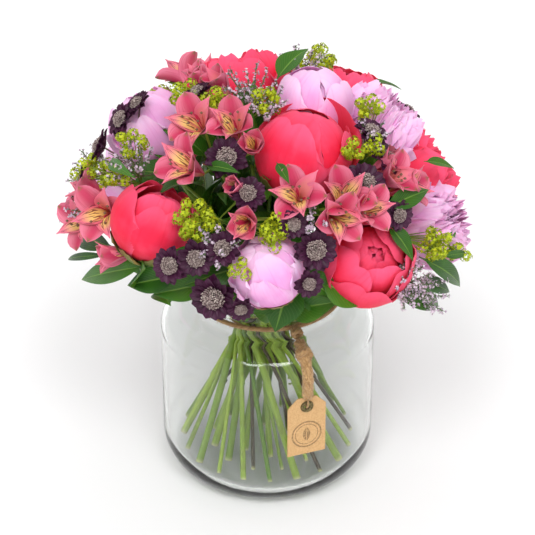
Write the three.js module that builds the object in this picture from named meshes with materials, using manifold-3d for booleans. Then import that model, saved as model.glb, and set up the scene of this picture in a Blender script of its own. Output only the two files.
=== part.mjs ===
// A hand-tied bouquet of peonies and smaller flowers standing in a clear glass jar vase.
// A paper tag hangs from a jute string tied round the vase's neck.
// Millimetres, +Z up. The origin is the middle of the vase's foot, on the table; -Y is the front.
import * as THREE from "three";
import { mergeVertices } from "three/addons/utils/BufferGeometryUtils.js";
import Module from "manifold-3d";

const wasm = await Module();
wasm.setup();

// ---- Driving dimensions and shared colours ----

const GAP = 0.3; // left between pieces that rest on each other

const VASE = {
  radius: 95,
  wall: 3.5,
  base: 7,
  footCorner: 35,
  shoulderFoot: 142, // where the straight wall ends and the shoulder begins
  shoulderCorner: 24,
  neckRadius: 62,
  neckFillet: 5,
  lip: 4, // radius of the rolled bead round the mouth
  height: 190,
};

// The flower heads fill a dome. Each head touches its skin from inside.
const DOME = { radius: 175, rise: 155, centre: 243 };

// Petals and florets mesh with their neighbours. The solid core of a head is this share of its ball.
const CORE = 0.8;
const SETTLE = { rounds: 120, ease: 0.5, clearance: 1 };

// The stems cross in a tight round bundle, tied with twine inside the vase's neck.
const WAIST = {
  height: 158,
  rings: [0, 7.6, 15.2, 23.4],
  slots: [1, 6, 12, 20],
  tieTwine: 1.6,
  tieClearance: 5,
};
const FOOT = { spread: 3.3, turn: 78, rise: 0.0021 }; // how far a stem's foot fans out, and how far it spirals round
const STEM = { sides: 6, steps: 9, colour: 0x8fae4c };

const TAG = {
  width: 35,
  height: 60,
  thickness: 1.2,
  corner: 9, // cut off each of the two top corners
  hole: 4.2, // radius
  holeDrop: 9, // from the top edge to the middle of the hole
  top: 127,
  azimuth: 290,
  standoff: 3.2, // from the glass to the back of the card
};
const TWINE = { radius: 2.4, height: 179 };
const CORD = { radius: 4.4, knot: 7.5 };
const JUTE = { colour: 0xb99a6b, roughness: 0.9 };
const LOOP = { radius: 0.8, back: 1.6, across: 2.8, tall: 6.75, sag: 1 };

// ---- Where the heads are ----

// Each head's azimuth, in degrees anticlockwise from +X seen from above, and its tilt from upright,
// with the radius of the ball of space that it fills.
const KINDS = {
  coral_peony: {
    stem: 3.1,
    colour: 0xf0405a,
    heads: [
      [299, 26, 41],
      [221, 63, 37],
      [309, 74, 40],
      [106, 36, 38],
      [45, 45, 34],
      [12, 72, 34],
      [110, 76, 37],
    ],
  },
  pink_peony: {
    stem: 3.1,
    colour: 0xeeb4dc,
    heads: [
      [157, 53, 37],
      [10, 16, 33],
      [270, 70, 31],
      [18, 44, 36],
      [355, 84, 36],
      [66, 74, 37],
      [148, 84, 36],
    ],
  },
  alstroemeria: {
    stem: 2.3,
    colour: 0xdc5f78,
    heads: [
      [196, 76, 25],
      [222, 31, 25],
      [286, 50, 24],
      [326, 60, 25],
      [150, 24, 22],
      [88, 60, 24],
    ],
  },
  astrantia: {
    stem: 1.7,
    colour: 0x4a2038,
    heads: [
      [243, 76, 21],
      [250, 36, 17],
      [288, 64, 17],
      [317, 44, 17],
      [176, 62, 18],
      [40, 76, 18],
    ],
  },
  alchemilla: {
    stem: 1.7,
    colour: 0xb4cc28,
    heads: [
      [246, 54, 23],
      [186, 62, 22],
      [184, 10, 19],
      [345, 42, 21],
      [334, 78, 20],
    ],
  },
  limonium: {
    stem: 1.6,
    colour: 0xb9a4b4,
    heads: [
      [80, 12, 17],
      [198, 48, 18],
      [288, 86, 18],
    ],
  },
};

// Foliage sprigs reach out under the flowers: azimuth, and the length of their leaves.
const FOLIAGE = {
  stem: 2.0,
  colour: 0x2f6b24,
  heads: [
    [285, 56],
    [205, 64],
    [330, 68],
    [40, 68],
    [130, 68],
  ],
};
const LEAF = {
  thickness: 1.6,
  width: 0.5, // share of the length
  petiole: 12,
  fork: 30, // degrees between one leaf and the next
  rise: 12, // degrees above level
  collarRadius: 86,
  collarHeight: 217,
};

const radians = THREE.MathUtils.degToRad;

// The unit vector at an azimuth and a tilt from upright, in degrees.
function direction(azimuth, tilt) {
  return new THREE.Vector3(
    Math.sin(radians(tilt)) * Math.cos(radians(azimuth)),
    Math.sin(radians(tilt)) * Math.sin(radians(azimuth)),
    Math.cos(radians(tilt)),
  );
}

// A head's middle: on a smaller dome, so that its ball touches the dome's skin.
function seat(unit, size) {
  const across = DOME.radius - size;
  return new THREE.Vector3(unit.x * across, unit.y * across, DOME.centre + unit.z * (DOME.rise - size));
}

// Heads pushed into a bunch settle against each other: in each round every pair whose firm cores
// would touch moves apart, the small one further than the big one, and all slide back on to the dome.
function settle(heads) {
  for (let round = 0; round < SETTLE.rounds; round++) {
    const pushes = heads.map((a) => {
      const push = new THREE.Vector3();
      for (const b of heads) {
        const away = a.middle.clone().sub(b.middle);
        const overlap = (a.size + b.size) * CORE + SETTLE.clearance - away.length();
        if (a === b || overlap <= 0) continue;
        push.addScaledVector(away.normalize(), (SETTLE.ease * overlap * b.size ** 2) / (a.size ** 2 + b.size ** 2));
      }
      return push;
    });
    heads.forEach((head, i) => {
      const { x, y, z } = head.middle.clone().add(pushes[i]);
      const across = DOME.radius - head.size;
      const unit = new THREE.Vector3(x / across, y / across, (z - DOME.centre) / (DOME.rise - head.size));
      head.middle = seat(unit.normalize(), head.size);
    });
  }
}

const domeCentre = new THREE.Vector3(0, 0, DOME.centre);
const heads = [];
for (const [kind, { stem, colour, heads: places }] of Object.entries(KINDS)) {
  places.forEach(([azimuth, tilt, size], i) => {
    const middle = seat(direction(azimuth, tilt), size);
    heads.push({ name: `${kind}_${i + 1}`, kind, stem, colour, size, middle });
  });
}
settle(heads);
for (const head of heads) head.normal = head.middle.clone().sub(domeCentre).normalize();

FOLIAGE.heads.forEach(([azimuth, length], i) => {
  const outward = direction(azimuth, 90);
  const middle = outward.clone().multiplyScalar(LEAF.collarRadius).setZ(LEAF.collarHeight);
  const normal = direction(azimuth, 90 - LEAF.rise);
  heads.push({
    name: `foliage_${i + 1}`,
    kind: "foliage",
    stem: FOLIAGE.stem,
    colour: FOLIAGE.colour,
    size: 0,
    leaf: length,
    middle,
    normal,
  });
});

// ---- Where the stems run ----

const azimuthOf = (v) => Math.atan2(v.y, v.x);

// The head nearest the top of the dome takes the middle of the bundle, and the lowest heads the
// outermost ring. In each ring the stems stand evenly, in the order of their heads.
function fillWaist() {
  const byHeight = [...heads].sort((a, b) => b.normal.z - a.normal.z);
  WAIST.slots.forEach((count, ring) => {
    const members = byHeight.splice(0, count).sort((a, b) => azimuthOf(a.middle) - azimuthOf(b.middle));
    const pitch = (2 * Math.PI) / members.length;
    let offset = 0;
    members.forEach((head, i) => (offset += (azimuthOf(head.middle) - i * pitch) / members.length));
    members.forEach((head, i) => {
      head.slotAngle = offset + i * pitch;
      head.slotRadius = WAIST.rings[ring];
    });
  });
}
fillWaist();

// A stem's centre line, from its cut foot up through the tie to the underside of its head.
function stemLine(head, end) {
  const round = (angle, radius, z) => new THREE.Vector3(radius * Math.cos(angle), radius * Math.sin(angle), z);
  const waist = round(head.slotAngle, head.slotRadius, WAIST.height);
  const reach = head.slotRadius * FOOT.spread;
  const footAngle = head.slotAngle + radians(FOOT.turn);
  // The feet stand on the base or, further out, on its rounded corner.
  const rise = VASE.base + head.stem + FOOT.rise * reach ** 2;
  const foot = round(footAngle, reach, rise);
  const climb = end.distanceTo(waist);
  const lift = waist.clone().setZ(WAIST.height + 0.3 * climb);
  const approach = end.clone().addScaledVector(head.normal, -0.34 * climb);
  const upper = new THREE.CubicBezierCurve3(waist, lift, approach, end);
  return new THREE.CatmullRomCurve3([foot, foot.clone().lerp(waist, 0.5), ...upper.getPoints(5)], false, "centripetal");
}

// ---- Building solids ----

function toSolid(geometry) {
  const bare = geometry.index ? geometry.toNonIndexed() : geometry.clone();
  bare.deleteAttribute("normal");
  bare.deleteAttribute("uv");
  const merged = mergeVertices(bare, 1e-3);
  return new wasm.Manifold(
    new wasm.Mesh({
      numProp: 3,
      vertProperties: new Float32Array(merged.attributes.position.array),
      triVerts: new Uint32Array(merged.index.array),
    }),
  );
}

function toGeometry(solid) {
  const made = solid.getMesh();
  const geometry = new THREE.BufferGeometry();
  geometry.setAttribute("position", new THREE.BufferAttribute(made.vertProperties, 3));
  geometry.setIndex(new THREE.BufferAttribute(made.triVerts, 1));
  geometry.computeVertexNormals();
  return geometry;
}

function joined(...geometries) {
  return toGeometry(geometries.map(toSolid).reduce((all, next) => all.add(next)));
}

function tube(line, radius, sides, steps) {
  const section = new THREE.Shape();
  section.absarc(0, 0, radius, 0, 2 * Math.PI);
  return new THREE.ExtrudeGeometry(section, {
    steps,
    curveSegments: sides / 2,
    extrudePath: line,
    bevelEnabled: false,
  });
}

// A turned solid about local +Z from its outline, (radius, height) points going up.
function turned(outline, segments) {
  return new THREE.LatheGeometry(outline, segments).rotateX(Math.PI / 2);
}

// Stands a geometry's local +Z along a unit vector, with its local origin at a point.
function stand(geometry, unit, point) {
  const turn = new THREE.Quaternion().setFromUnitVectors(new THREE.Vector3(0, 0, 1), unit);
  return geometry.applyQuaternion(turn).translate(point.x, point.y, point.z);
}

const bouquet = new THREE.Group();

function addPiece(name, geometry, colour, { roughness = 0.6, metalness = 0, opacity = 1 } = {}) {
  const material = new THREE.MeshStandardMaterial({ color: colour, roughness, metalness, opacity });
  material.transparent = opacity < 1;
  const mesh = new THREE.Mesh(geometry, material);
  mesh.name = name;
  bouquet.add(mesh);
}

// ---- The vase ----

function vaseGeometry() {
  const { radius, wall, base, footCorner, shoulderFoot, shoulderCorner, neckRadius, neckFillet, lip, height } = VASE;
  const shoulderTop = shoulderFoot + shoulderCorner;
  const quarter = Math.PI / 2;
  const beadRadius = neckRadius - wall / 2 + 0.75;
  const beadHeight = height - lip;
  const outline = new THREE.Path();
  outline.moveTo(0, 0);
  outline.lineTo(radius - footCorner, 0);
  outline.absarc(radius - footCorner, footCorner, footCorner, -quarter, 0, false);
  outline.absarc(radius - shoulderCorner, shoulderFoot, shoulderCorner, 0, quarter, false);
  outline.absarc(neckRadius + neckFillet, shoulderTop + neckFillet, neckFillet, -quarter, -2 * quarter, true);
  const beadFrom = Math.acos((neckRadius - beadRadius) / lip);
  const beadTo = Math.acos((neckRadius - wall - beadRadius) / lip);
  outline.absarc(beadRadius, beadHeight, lip, -beadFrom, 4 * quarter - beadTo, false);
  const innerFillet = neckFillet + wall;
  const innerTop = shoulderTop - wall;
  outline.absarc(neckRadius + neckFillet, innerTop + innerFillet, innerFillet, -2 * quarter, -quarter, false);
  outline.absarc(radius - shoulderCorner, shoulderFoot, shoulderCorner - wall, quarter, 0, true);
  const innerCorner = footCorner - wall;
  outline.absarc(radius - footCorner, base + innerCorner, innerCorner, 0, -quarter, true);
  outline.lineTo(0, base);
  const points = outline.getPoints(2);
  const distinct = points.filter((point, i) => i === 0 || point.distanceTo(points[i - 1]) > 0.01);
  return turned(distinct, 28);
}
addPiece("vase", vaseGeometry(), 0xeef4f1, { roughness: 0.05, opacity: 0.35 });

// ---- The jute string round the neck, its knot, the hanging cord and the tag ----

// A closed ring turned from a round section.
function ring(ringRadius, sectionRadius, height, sides, segments) {
  const section = new THREE.Path().absarc(ringRadius, height, sectionRadius, 0, 2 * Math.PI, false);
  return turned(section.getPoints(sides / 2), segments);
}

const neckTwineRadius = VASE.neckRadius + GAP + 0.4 + TWINE.radius;
addPiece("neck_twine", ring(neckTwineRadius, TWINE.radius, TWINE.height, 6, 28), JUTE.colour, JUTE);

// The cord's own plane: straight out from the vase's axis at the tag's azimuth.
const tagOut = direction(TAG.azimuth, 90);
const inTagPlane = (radius, z) => tagOut.clone().multiplyScalar(radius).setZ(z);

const KNOT = { radius: 5.5, height: TWINE.height - 1 };
const knotMiddle = inTagPlane(neckTwineRadius + TWINE.radius + GAP + KNOT.radius, KNOT.height);
addPiece("twine_knot", new THREE.SphereGeometry(KNOT.radius, 8, 6).translate(...knotMiddle), JUTE.colour, JUTE);

// The tag stands a little off the glass. The loop of thin string passes through its eyelet.
const tagBack = VASE.radius + TAG.standoff;
const holeHeight = TAG.top - TAG.holeDrop;
const loopMiddle = VASE.radius + LOOP.back + LOOP.across;
const loopTop = holeHeight - LOOP.sag + 2 * LOOP.tall;

// The cord starts beside the knot, lies over the shoulder and hangs in front of the glass. Its own
// knot sits just past the shoulder.
const cordKnot = inTagPlane(90.6, 167);
const cordLine = new THREE.CatmullRomCurve3([
  inTagPlane(79, 171.8),
  inTagPlane(84, 170.6),
  cordKnot,
  inTagPlane(98, 158),
  inTagPlane(101.3, 147),
  inTagPlane(101.3, 137),
  inTagPlane(100.4, loopTop - 1.2),
]);

// A closed ellipse standing in the cord's plane.
function loopGeometry() {
  const section = new THREE.Path().absarc(LOOP.across, 0, LOOP.radius, 0, 2 * Math.PI, false);
  return turned(section.getPoints(3), 16)
    .scale(1, LOOP.tall / LOOP.across, 1)
    .rotateX(Math.PI / 2)
    .rotateZ(radians(TAG.azimuth))
    .translate(tagOut.x * loopMiddle, tagOut.y * loopMiddle, loopTop - LOOP.tall);
}
const cordKnotGeometry = new THREE.SphereGeometry(CORD.knot, 10, 8).translate(...cordKnot);
addPiece(
  "tag_cord",
  joined(tube(cordLine, CORD.radius, 8, 12), cordKnotGeometry, loopGeometry()),
  JUTE.colour,
  JUTE,
);

// The tag hangs flat in front of the glass, with its top corners cut off.
function tagGeometry(thickness) {
  const half = TAG.width / 2;
  const card = new THREE.Shape();
  card.moveTo(-half, -TAG.height);
  card.lineTo(half, -TAG.height);
  card.lineTo(half, -TAG.corner);
  card.lineTo(half - TAG.corner, 0);
  card.lineTo(-half + TAG.corner, 0);
  card.lineTo(-half, -TAG.corner);
  card.closePath();
  const hole = new THREE.Path();
  hole.absarc(0, -TAG.holeDrop, TAG.hole, 0, 2 * Math.PI, true);
  card.holes.push(hole);
  return new THREE.ExtrudeGeometry(card, { depth: thickness, bevelEnabled: false, curveSegments: 8 });
}

// Turns a flat piece drawn in X and Y so that it faces out at the tag's azimuth, Y up.
function hang(geometry, radius, z) {
  return geometry
    .rotateX(Math.PI / 2)
    .rotateZ(radians(TAG.azimuth) + Math.PI / 2)
    .translate(tagOut.x * radius, tagOut.y * radius, z);
}
addPiece("tag", hang(tagGeometry(TAG.thickness), tagBack, TAG.top), 0xd2b284, { roughness: 0.85 });

function eyeletGeometry() {
  const barrel = TAG.hole - GAP;
  const outline = new THREE.Path();
  const [bore, flange] = [barrel - 1, TAG.hole + 1.8];
  const front = TAG.thickness / 2 + GAP;
  outline.moveTo(bore, -front);
  outline.lineTo(barrel, -front);
  outline.lineTo(barrel, front);
  outline.lineTo(flange, front);
  outline.lineTo(flange - 0.4, front + 0.8);
  outline.lineTo(bore, front + 0.8);
  outline.closePath();
  return turned(outline.getPoints(), 16);
}
const eyeletMiddle = inTagPlane(tagBack + TAG.thickness / 2, holeHeight);
addPiece("tag_eyelet", stand(eyeletGeometry(), tagOut, eyeletMiddle), 0x6d6546, { roughness: 0.45, metalness: 0.8 });

// ---- The twine that binds the stems ----

const tieRadius = WAIST.rings.at(-1) + WAIST.tieClearance + WAIST.tieTwine;
addPiece("stem_tie", ring(tieRadius, WAIST.tieTwine, WAIST.height, 6, 28), JUTE.colour, JUTE);

// ---- Flower heads ----

const outlineOf = (size, shape) => shape.map(([radius, z]) => new THREE.Vector2(radius * size, z * size));

// Each outline goes from the stem up to the crown, in shares of the head's own radius.
const HEAD_SHAPES = {
  coral_peony: roundOutline(1, 1),
  pink_peony: roundOutline(1, 1),
  alstroemeria: [
    [0, -0.95],
    [0.22, -0.9],
    [0.5, -0.35],
    [0.86, 0.2],
    [0.84, 0.4],
    [0.4, 0.8],
    [0, 0.98],
  ],
  astrantia: [
    [0, -0.8],
    [0.3, -0.6],
    [0.85, -0.15],
    [0.92, 0.1],
    [0.6, 0.6],
    [0, 0.98],
  ],
  alchemilla: roundOutline(0.95, 0.98),
  limonium: [
    [0, -0.95],
    [0.4, -0.7],
    [0.8, 0],
    [0.7, 0.55],
    [0, 1],
  ],
};

// Half of an ellipse from pole to pole.
function roundOutline(across, up) {
  const steps = 7;
  const at = (i) => -Math.PI / 2 + (Math.PI * i) / steps;
  return Array.from({ length: steps + 1 }, (_, i) => [
    i % steps === 0 ? 0 : across * Math.cos(at(i)),
    up * Math.sin(at(i)),
  ]);
}

// The core touches the dome's skin too, so it stands further out than the middle of the ball.
function headGeometry(head, segments) {
  const core = head.size * CORE;
  const middle = head.middle.clone().addScaledVector(head.normal, head.size - core);
  return stand(turned(outlineOf(core, HEAD_SHAPES[head.kind]), segments), head.normal, middle);
}

function addPeony(head) {
  const underside = head.size * (2 * CORE - 1) + GAP;
  const end = head.middle.clone().addScaledVector(head.normal, -underside);
  addPiece(`${head.name}_stem`, tube(stemLine(head, end), head.stem, STEM.sides, STEM.steps), STEM.colour);
  addPiece(`${head.name}_bloom`, headGeometry(head, 11), head.colour);
}

function addSpray(head) {
  const end = head.middle.clone().addScaledVector(head.normal, -0.3 * head.size);
  const stem = tube(stemLine(head, end), head.stem, STEM.sides, STEM.steps);
  addPiece(head.name, joined(stem, headGeometry(head, 9)), head.colour);
}

// A pointed leaf blade lying in X and Y, its stalk starting just behind the local origin.
function leafGeometry(length) {
  const width = length * LEAF.width * 0.5;
  const tip = LEAF.petiole + length;
  const stalk = 1.2;
  const blade = new THREE.Shape();
  blade.moveTo(-stalk, -stalk);
  blade.lineTo(LEAF.petiole, -stalk);
  blade.quadraticCurveTo(LEAF.petiole + 0.28 * length, -1.95 * width, tip, 0);
  blade.quadraticCurveTo(LEAF.petiole + 0.28 * length, 1.95 * width, LEAF.petiole, stalk);
  blade.lineTo(-stalk, stalk);
  blade.closePath();
  return new THREE.ExtrudeGeometry(blade, { depth: LEAF.thickness, bevelEnabled: false, curveSegments: 6 }).translate(
    0,
    0,
    -LEAF.thickness / 2,
  );
}

function addFoliage(head) {
  const line = stemLine(head, head.middle);
  const stem = tube(line, head.stem, STEM.sides, STEM.steps);
  const azimuth = azimuthOf(head.normal);
  const leaves = [-1, 0, 1].map((side) => {
    const root = side ? line.getPointAt(0.965) : head.middle;
    const lift = radians(side ? LEAF.rise / 2 : LEAF.rise);
    return leafGeometry(side ? head.leaf : head.leaf * 1.1)
      .rotateY(-lift)
      .rotateZ(azimuth + side * radians(LEAF.fork))
      .translate(root.x, root.y, root.z);
  });
  addPiece(head.name, joined(stem, ...leaves), head.colour);
}

for (const head of heads) {
  if (head.kind.endsWith("peony")) addPeony(head);
  else if (head.kind === "foliage") addFoliage(head);
  else addSpray(head);
}

export default bouquet;
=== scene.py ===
# %% [markdown]
# # A bouquet of peonies in a glass jar
#
# A florist's bouquet looks like thousands of shapes, but it is made of very few: a petal, a leaf, a
# stem, a star and a bead. This lesson makes each of them once, as a surface worked out by a formula on
# a grid of numbers, and then lays copies of it where the frame says that each flower stands.
# All sizes of the shapes are in millimetres, and MM turns them into Blender's metres where a mesh is
# made. The camera, the floor and the scales inside the materials are in metres from the start.

# %% Load the frame
import math
import bpy
import numpy as np
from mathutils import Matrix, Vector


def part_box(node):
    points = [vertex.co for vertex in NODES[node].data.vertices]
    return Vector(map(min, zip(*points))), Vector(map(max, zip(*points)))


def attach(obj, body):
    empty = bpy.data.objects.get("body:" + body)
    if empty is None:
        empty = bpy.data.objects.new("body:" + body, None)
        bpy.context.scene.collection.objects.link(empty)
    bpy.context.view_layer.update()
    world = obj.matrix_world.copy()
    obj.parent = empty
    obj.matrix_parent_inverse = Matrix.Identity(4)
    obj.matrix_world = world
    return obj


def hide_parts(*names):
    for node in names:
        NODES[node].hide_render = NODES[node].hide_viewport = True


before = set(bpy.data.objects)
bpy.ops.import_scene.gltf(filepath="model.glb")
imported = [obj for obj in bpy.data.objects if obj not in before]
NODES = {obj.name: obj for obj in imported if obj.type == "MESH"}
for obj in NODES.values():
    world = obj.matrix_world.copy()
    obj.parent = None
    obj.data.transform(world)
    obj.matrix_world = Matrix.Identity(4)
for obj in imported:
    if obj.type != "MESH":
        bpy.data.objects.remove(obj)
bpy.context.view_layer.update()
MM = 0.001


# %% [markdown]
# ## The camera
#
# The jar is looked at from a little above, from far away with a long lens, so that its two sides stay
# nearly upright and the round of the bouquet shows. The camera turns about a point half-way up.

# %% Camera
CAMERA_DISTANCE = 2.0
CAMERA_ELEVATION = math.radians(33)
CAMERA_AIM_HEIGHT = 0.2

lens = bpy.data.cameras.new("front view")
lens.lens = 153.4
lens.sensor_width = 36
camera = bpy.data.objects.new("front view", lens)
camera.location = (
    0,
    -CAMERA_DISTANCE * math.cos(CAMERA_ELEVATION),
    CAMERA_AIM_HEIGHT + CAMERA_DISTANCE * math.sin(CAMERA_ELEVATION),
)
camera.rotation_euler = (math.pi / 2 - CAMERA_ELEVATION, 0, 0)
bpy.context.scene.collection.objects.link(camera)
bpy.context.scene.camera = camera
print("camera at", tuple(round(c, 3) for c in camera.location))


# %% [markdown]
# ## Turning numbers into meshes
#
# Blender can take whole lists of points at once, which is far quicker than adding them one by one.
# A Bundle gathers the points and faces of many small shapes, and makes them one mesh at the end.
# Each point also carries three numbers for its material: how far across and along its petal it is,
# which go into a UV map, and a tint that differs from petal to petal.

# %% A bundle of shapes
class Bundle:
    """Points, faces and their numbers, kept until they are made one mesh."""

    def __init__(self):
        self.points = []
        self.faces = []
        self.maps = []
        self.tints = []
        self.slots = []
        self.count = 0

    def add(self, points, faces, across_along, tint=0.5, slot=0):
        """Adds one shape. faces is one array of triangles or quads, or a list of such arrays."""
        faces = faces if isinstance(faces, list) else [faces]
        self.points.append(points)
        self.maps.append(across_along)
        self.tints.append(np.broadcast_to(tint, len(points)))
        for part in faces:
            self.faces.append(part + self.count)
            self.slots.append(np.full(len(part), slot))
        self.count += len(points)

    def make(self, name, materials, finish_slot, replaced=()):
        """Makes the mesh, and an object that rides on the one body that everything belongs to."""
        mesh = bpy.data.meshes.new(name)
        points = np.concatenate(self.points) * MM
        corners = np.concatenate([part.ravel() for part in self.faces])
        sides = np.concatenate([np.full(len(part), part.shape[1]) for part in self.faces])
        mesh.vertices.add(len(points))
        mesh.vertices.foreach_set("co", points.ravel())
        mesh.loops.add(len(corners))
        mesh.loops.foreach_set("vertex_index", corners)
        mesh.polygons.add(len(sides))
        mesh.polygons.foreach_set("loop_start", np.cumsum(sides) - sides)
        mesh.polygons.foreach_set("material_index", np.concatenate(self.slots))
        mesh.update(calc_edges=True)
        mesh.polygons.foreach_set("use_smooth", np.ones(len(sides), bool))
        across_along = mesh.uv_layers.new(name="across_along")
        across_along.data.foreach_set("uv", np.concatenate(self.maps)[corners].ravel())
        tint = mesh.attributes.new("tint", "FLOAT", "POINT")
        tint.data.foreach_set("value", np.concatenate(self.tints).astype(np.float32))
        mesh.set_sharp_from_angle(angle=math.radians(60))
        piece = bpy.data.objects.new(name, mesh)
        bpy.context.scene.collection.objects.link(piece)
        for material in materials:
            mesh.materials.append(material)
        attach(piece, "root")
        if replaced:
            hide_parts(*replaced)
        return piece


# %% Small vector helpers
def unit(v):
    """Each vector divided by its own length."""
    return v / np.maximum(np.linalg.norm(v, axis=-1, keepdims=True), 1e-9)


def direction(azimuth, tilt):
    """The unit vector at an azimuth from +X and a tilt from upright, both in degrees."""
    a, t = np.radians(azimuth), np.radians(tilt)
    return np.stack([np.sin(t) * np.cos(a), np.sin(t) * np.sin(a), np.cos(t) + 0 * a], -1)


def aim(points, origin, axis, roll=0.0):
    """Turns a shape so that its own +Z runs along axis, and moves it to origin."""
    axis = unit(np.asarray(axis, float))
    across = unit(np.cross(axis, [0.03, 0.02, 1.0]))
    up = np.cross(axis, across)
    x = math.cos(roll) * across + math.sin(roll) * up
    y = np.cross(axis, x)
    return points[..., :1] * x + points[..., 1:2] * y + points[..., 2:] * axis + origin


def quads(grid):
    """The quads between neighbours in a grid of point numbers."""
    return np.stack([grid[:-1, :-1], grid[:-1, 1:], grid[1:, 1:], grid[1:, :-1]], -1).reshape(-1, 4)


# %% Reading the frame
def node_box(node):
    """The lowest and highest corner of one of the frame's pieces, in millimetres."""
    low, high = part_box(node)
    return np.array(low) / MM, np.array(high) / MM


def node_points(node):
    """All the points of one of the frame's pieces, in millimetres."""
    mesh = NODES[node].data
    points = np.empty(len(mesh.vertices) * 3)
    mesh.vertices.foreach_get("co", points)
    return points.reshape(-1, 3) / MM


def bezier(a, b, c, d, steps):
    """Points on a cubic curve from a to d that leaves a towards b and reaches d from c."""
    t = np.linspace(0, 1, steps)[:, None]
    return (1 - t) ** 3 * a + 3 * (1 - t) ** 2 * t * b + 3 * (1 - t) * t**2 * c + t**3 * d


# %% A petal or a leaf: a sheet with a thickness
def add_sheets(bundle, sheets, thickness, tint=0.5, slot=0):
    """Adds thin closed petals. sheets is (how many, rows along, columns across, 3).

    Each sheet is copied half a thickness to either side along its own normal, which is the cross
    product of its two directions. A strip round the edge joins the copies, which draw together there.
    """
    many, rows, columns, _ = sheets.shape
    along = np.linspace(0, 1, rows)[:, None]
    across = np.linspace(0, 1, columns)[None, :]
    edge = np.maximum(np.abs(2 * across - 1), np.abs(2 * along - 1))
    normal = unit(np.cross(np.gradient(sheets, axis=2), np.gradient(sheets, axis=1)))
    half = 0.5 * thickness * (1 - 0.7 * edge**8)[None, :, :, None] * normal
    points = np.stack([sheets + half, sheets - half], 1).reshape(-1, 3)
    grid = np.arange(rows * columns).reshape(rows, columns)
    rim = np.concatenate([grid[0], grid[1:, -1], grid[-1, -2::-1], grid[-2:0:-1, 0]])
    after = np.roll(rim, -1)
    under = rows * columns
    strip = np.stack([after, rim, rim + under, after + under], -1)
    one = np.concatenate([quads(grid), quads(grid)[:, ::-1] + under, strip])
    faces = (one[None] + (np.arange(many) * 2 * under)[:, None, None]).reshape(-1, 4)
    numbers = np.stack(np.broadcast_arrays(across, along), -1).reshape(-1, 2)
    tints = np.repeat(np.broadcast_to(tint, many), 2 * under)
    bundle.add(points, faces, np.tile(numbers, (2 * many, 1)), tints, slot)


# %% A stem or a string: a circle carried along a path
def add_tube(bundle, path, radius, sides=12, closed=False, tint=0.5):
    """Adds a round tube. Each ring stands across the path on two unit vectors. The first is the cross
    product of the path's direction and the direction in which the path bends least, so that the rings
    never twist. The ends are closed with a point in the middle."""
    heading = np.gradient(path, axis=0)
    if closed:
        heading = np.roll(path, -1, 0) - np.roll(path, 1, 0)
    heading = unit(heading)
    least = np.linalg.svd(heading)[2][-1]
    side = unit(np.cross(heading, least))
    up = np.cross(side, heading)
    angle = np.linspace(0, 2 * np.pi, sides, endpoint=False)
    radii = np.broadcast_to(radius, len(path))[:, None, None]
    ring = np.cos(angle)[None, :, None] * side[:, None] + np.sin(angle)[None, :, None] * up[:, None]
    rings = path[:, None] + radii * ring
    grid = np.arange(len(path) * sides).reshape(len(path), sides)
    grid = np.concatenate([grid, grid[:, :1]], 1)
    along = np.linspace(0, 1, len(path))
    around = angle[None, :] / (2 * np.pi)
    numbers = np.stack(np.broadcast_arrays(around, along[:, None]), -1).reshape(-1, 2)
    if closed:
        faces = quads(np.concatenate([grid, grid[:1]]))
        bundle.add(rings.reshape(-1, 3), faces, numbers, tint)
        return
    points = np.concatenate([rings.reshape(-1, 3), path[:1], path[-1:]])
    foot, tip = len(points) - 2, len(points) - 1
    low, high = grid[0], grid[-1]
    caps = np.concatenate([
        np.stack([np.full(sides, foot), low[1:], low[:-1]], -1),
        np.stack([np.full(sides, tip), high[:-1], high[1:]], -1),
    ])
    numbers = np.concatenate([numbers, [[0.5, 0.0], [0.5, 1.0]]])
    bundle.add(points, [quads(grid), caps], numbers, tint)


# %% Stalks, beads and stars
def add_stalks(bundle, start, end, radius, tint=0.5, slot=0):
    """Adds many thin straight stalks at once. Each is a three-sided prism from start to end. They may all
    have one start."""
    start = np.broadcast_to(start, end.shape)
    heading = unit(end - start)
    side = unit(np.cross(heading, [0.31, 0.22, 0.92]))
    up = np.cross(heading, side)
    angle = np.arange(3) * 2 * np.pi / 3
    ring = np.cos(angle)[None, :, None] * side[:, None] + np.sin(angle)[None, :, None] * up[:, None]
    ring = radius * ring
    points = np.concatenate([start[:, None] + ring, end[:, None] + ring], 1).reshape(-1, 3)
    base = (np.arange(len(start)) * 6)[:, None, None]
    walls = np.array([[0, 1, 4, 3], [1, 2, 5, 4], [2, 0, 3, 5]])[None] + base
    ends = np.array([[0, 2, 1], [3, 4, 5]])[None] + base
    along = np.tile(np.repeat([0.0, 1.0], 3), len(start))
    numbers = np.stack([0 * along + 0.5, along], -1)
    bundle.add(points, [walls.reshape(-1, 4), ends.reshape(-1, 3)], numbers, tint, slot)


OCTAHEDRON = np.array([[1, 0, 0], [-1, 0, 0], [0, 1, 0], [0, -1, 0], [0, 0, 1], [0, 0, -1]], float)
OCTAHEDRON_FACES = np.array([
    [0, 2, 4], [2, 1, 4], [1, 3, 4], [3, 0, 4], [2, 0, 5], [1, 2, 5], [3, 1, 5], [0, 3, 5],
])


def add_beads(bundle, centres, radius, tint=0.5, slot=0):
    """Adds many tiny beads at once. Each has eight faces, and smooth shading makes it look round."""
    radius = np.broadcast_to(radius, len(centres))[:, None, None]
    points = (centres[:, None] + radius * OCTAHEDRON[None]).reshape(-1, 3)
    faces = (OCTAHEDRON_FACES[None] + (np.arange(len(centres)) * 6)[:, None, None]).reshape(-1, 3)
    tints = np.repeat(np.broadcast_to(tint, len(centres)), 6)
    bundle.add(points, faces, np.full((len(points), 2), 0.5), tints, slot)


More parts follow.
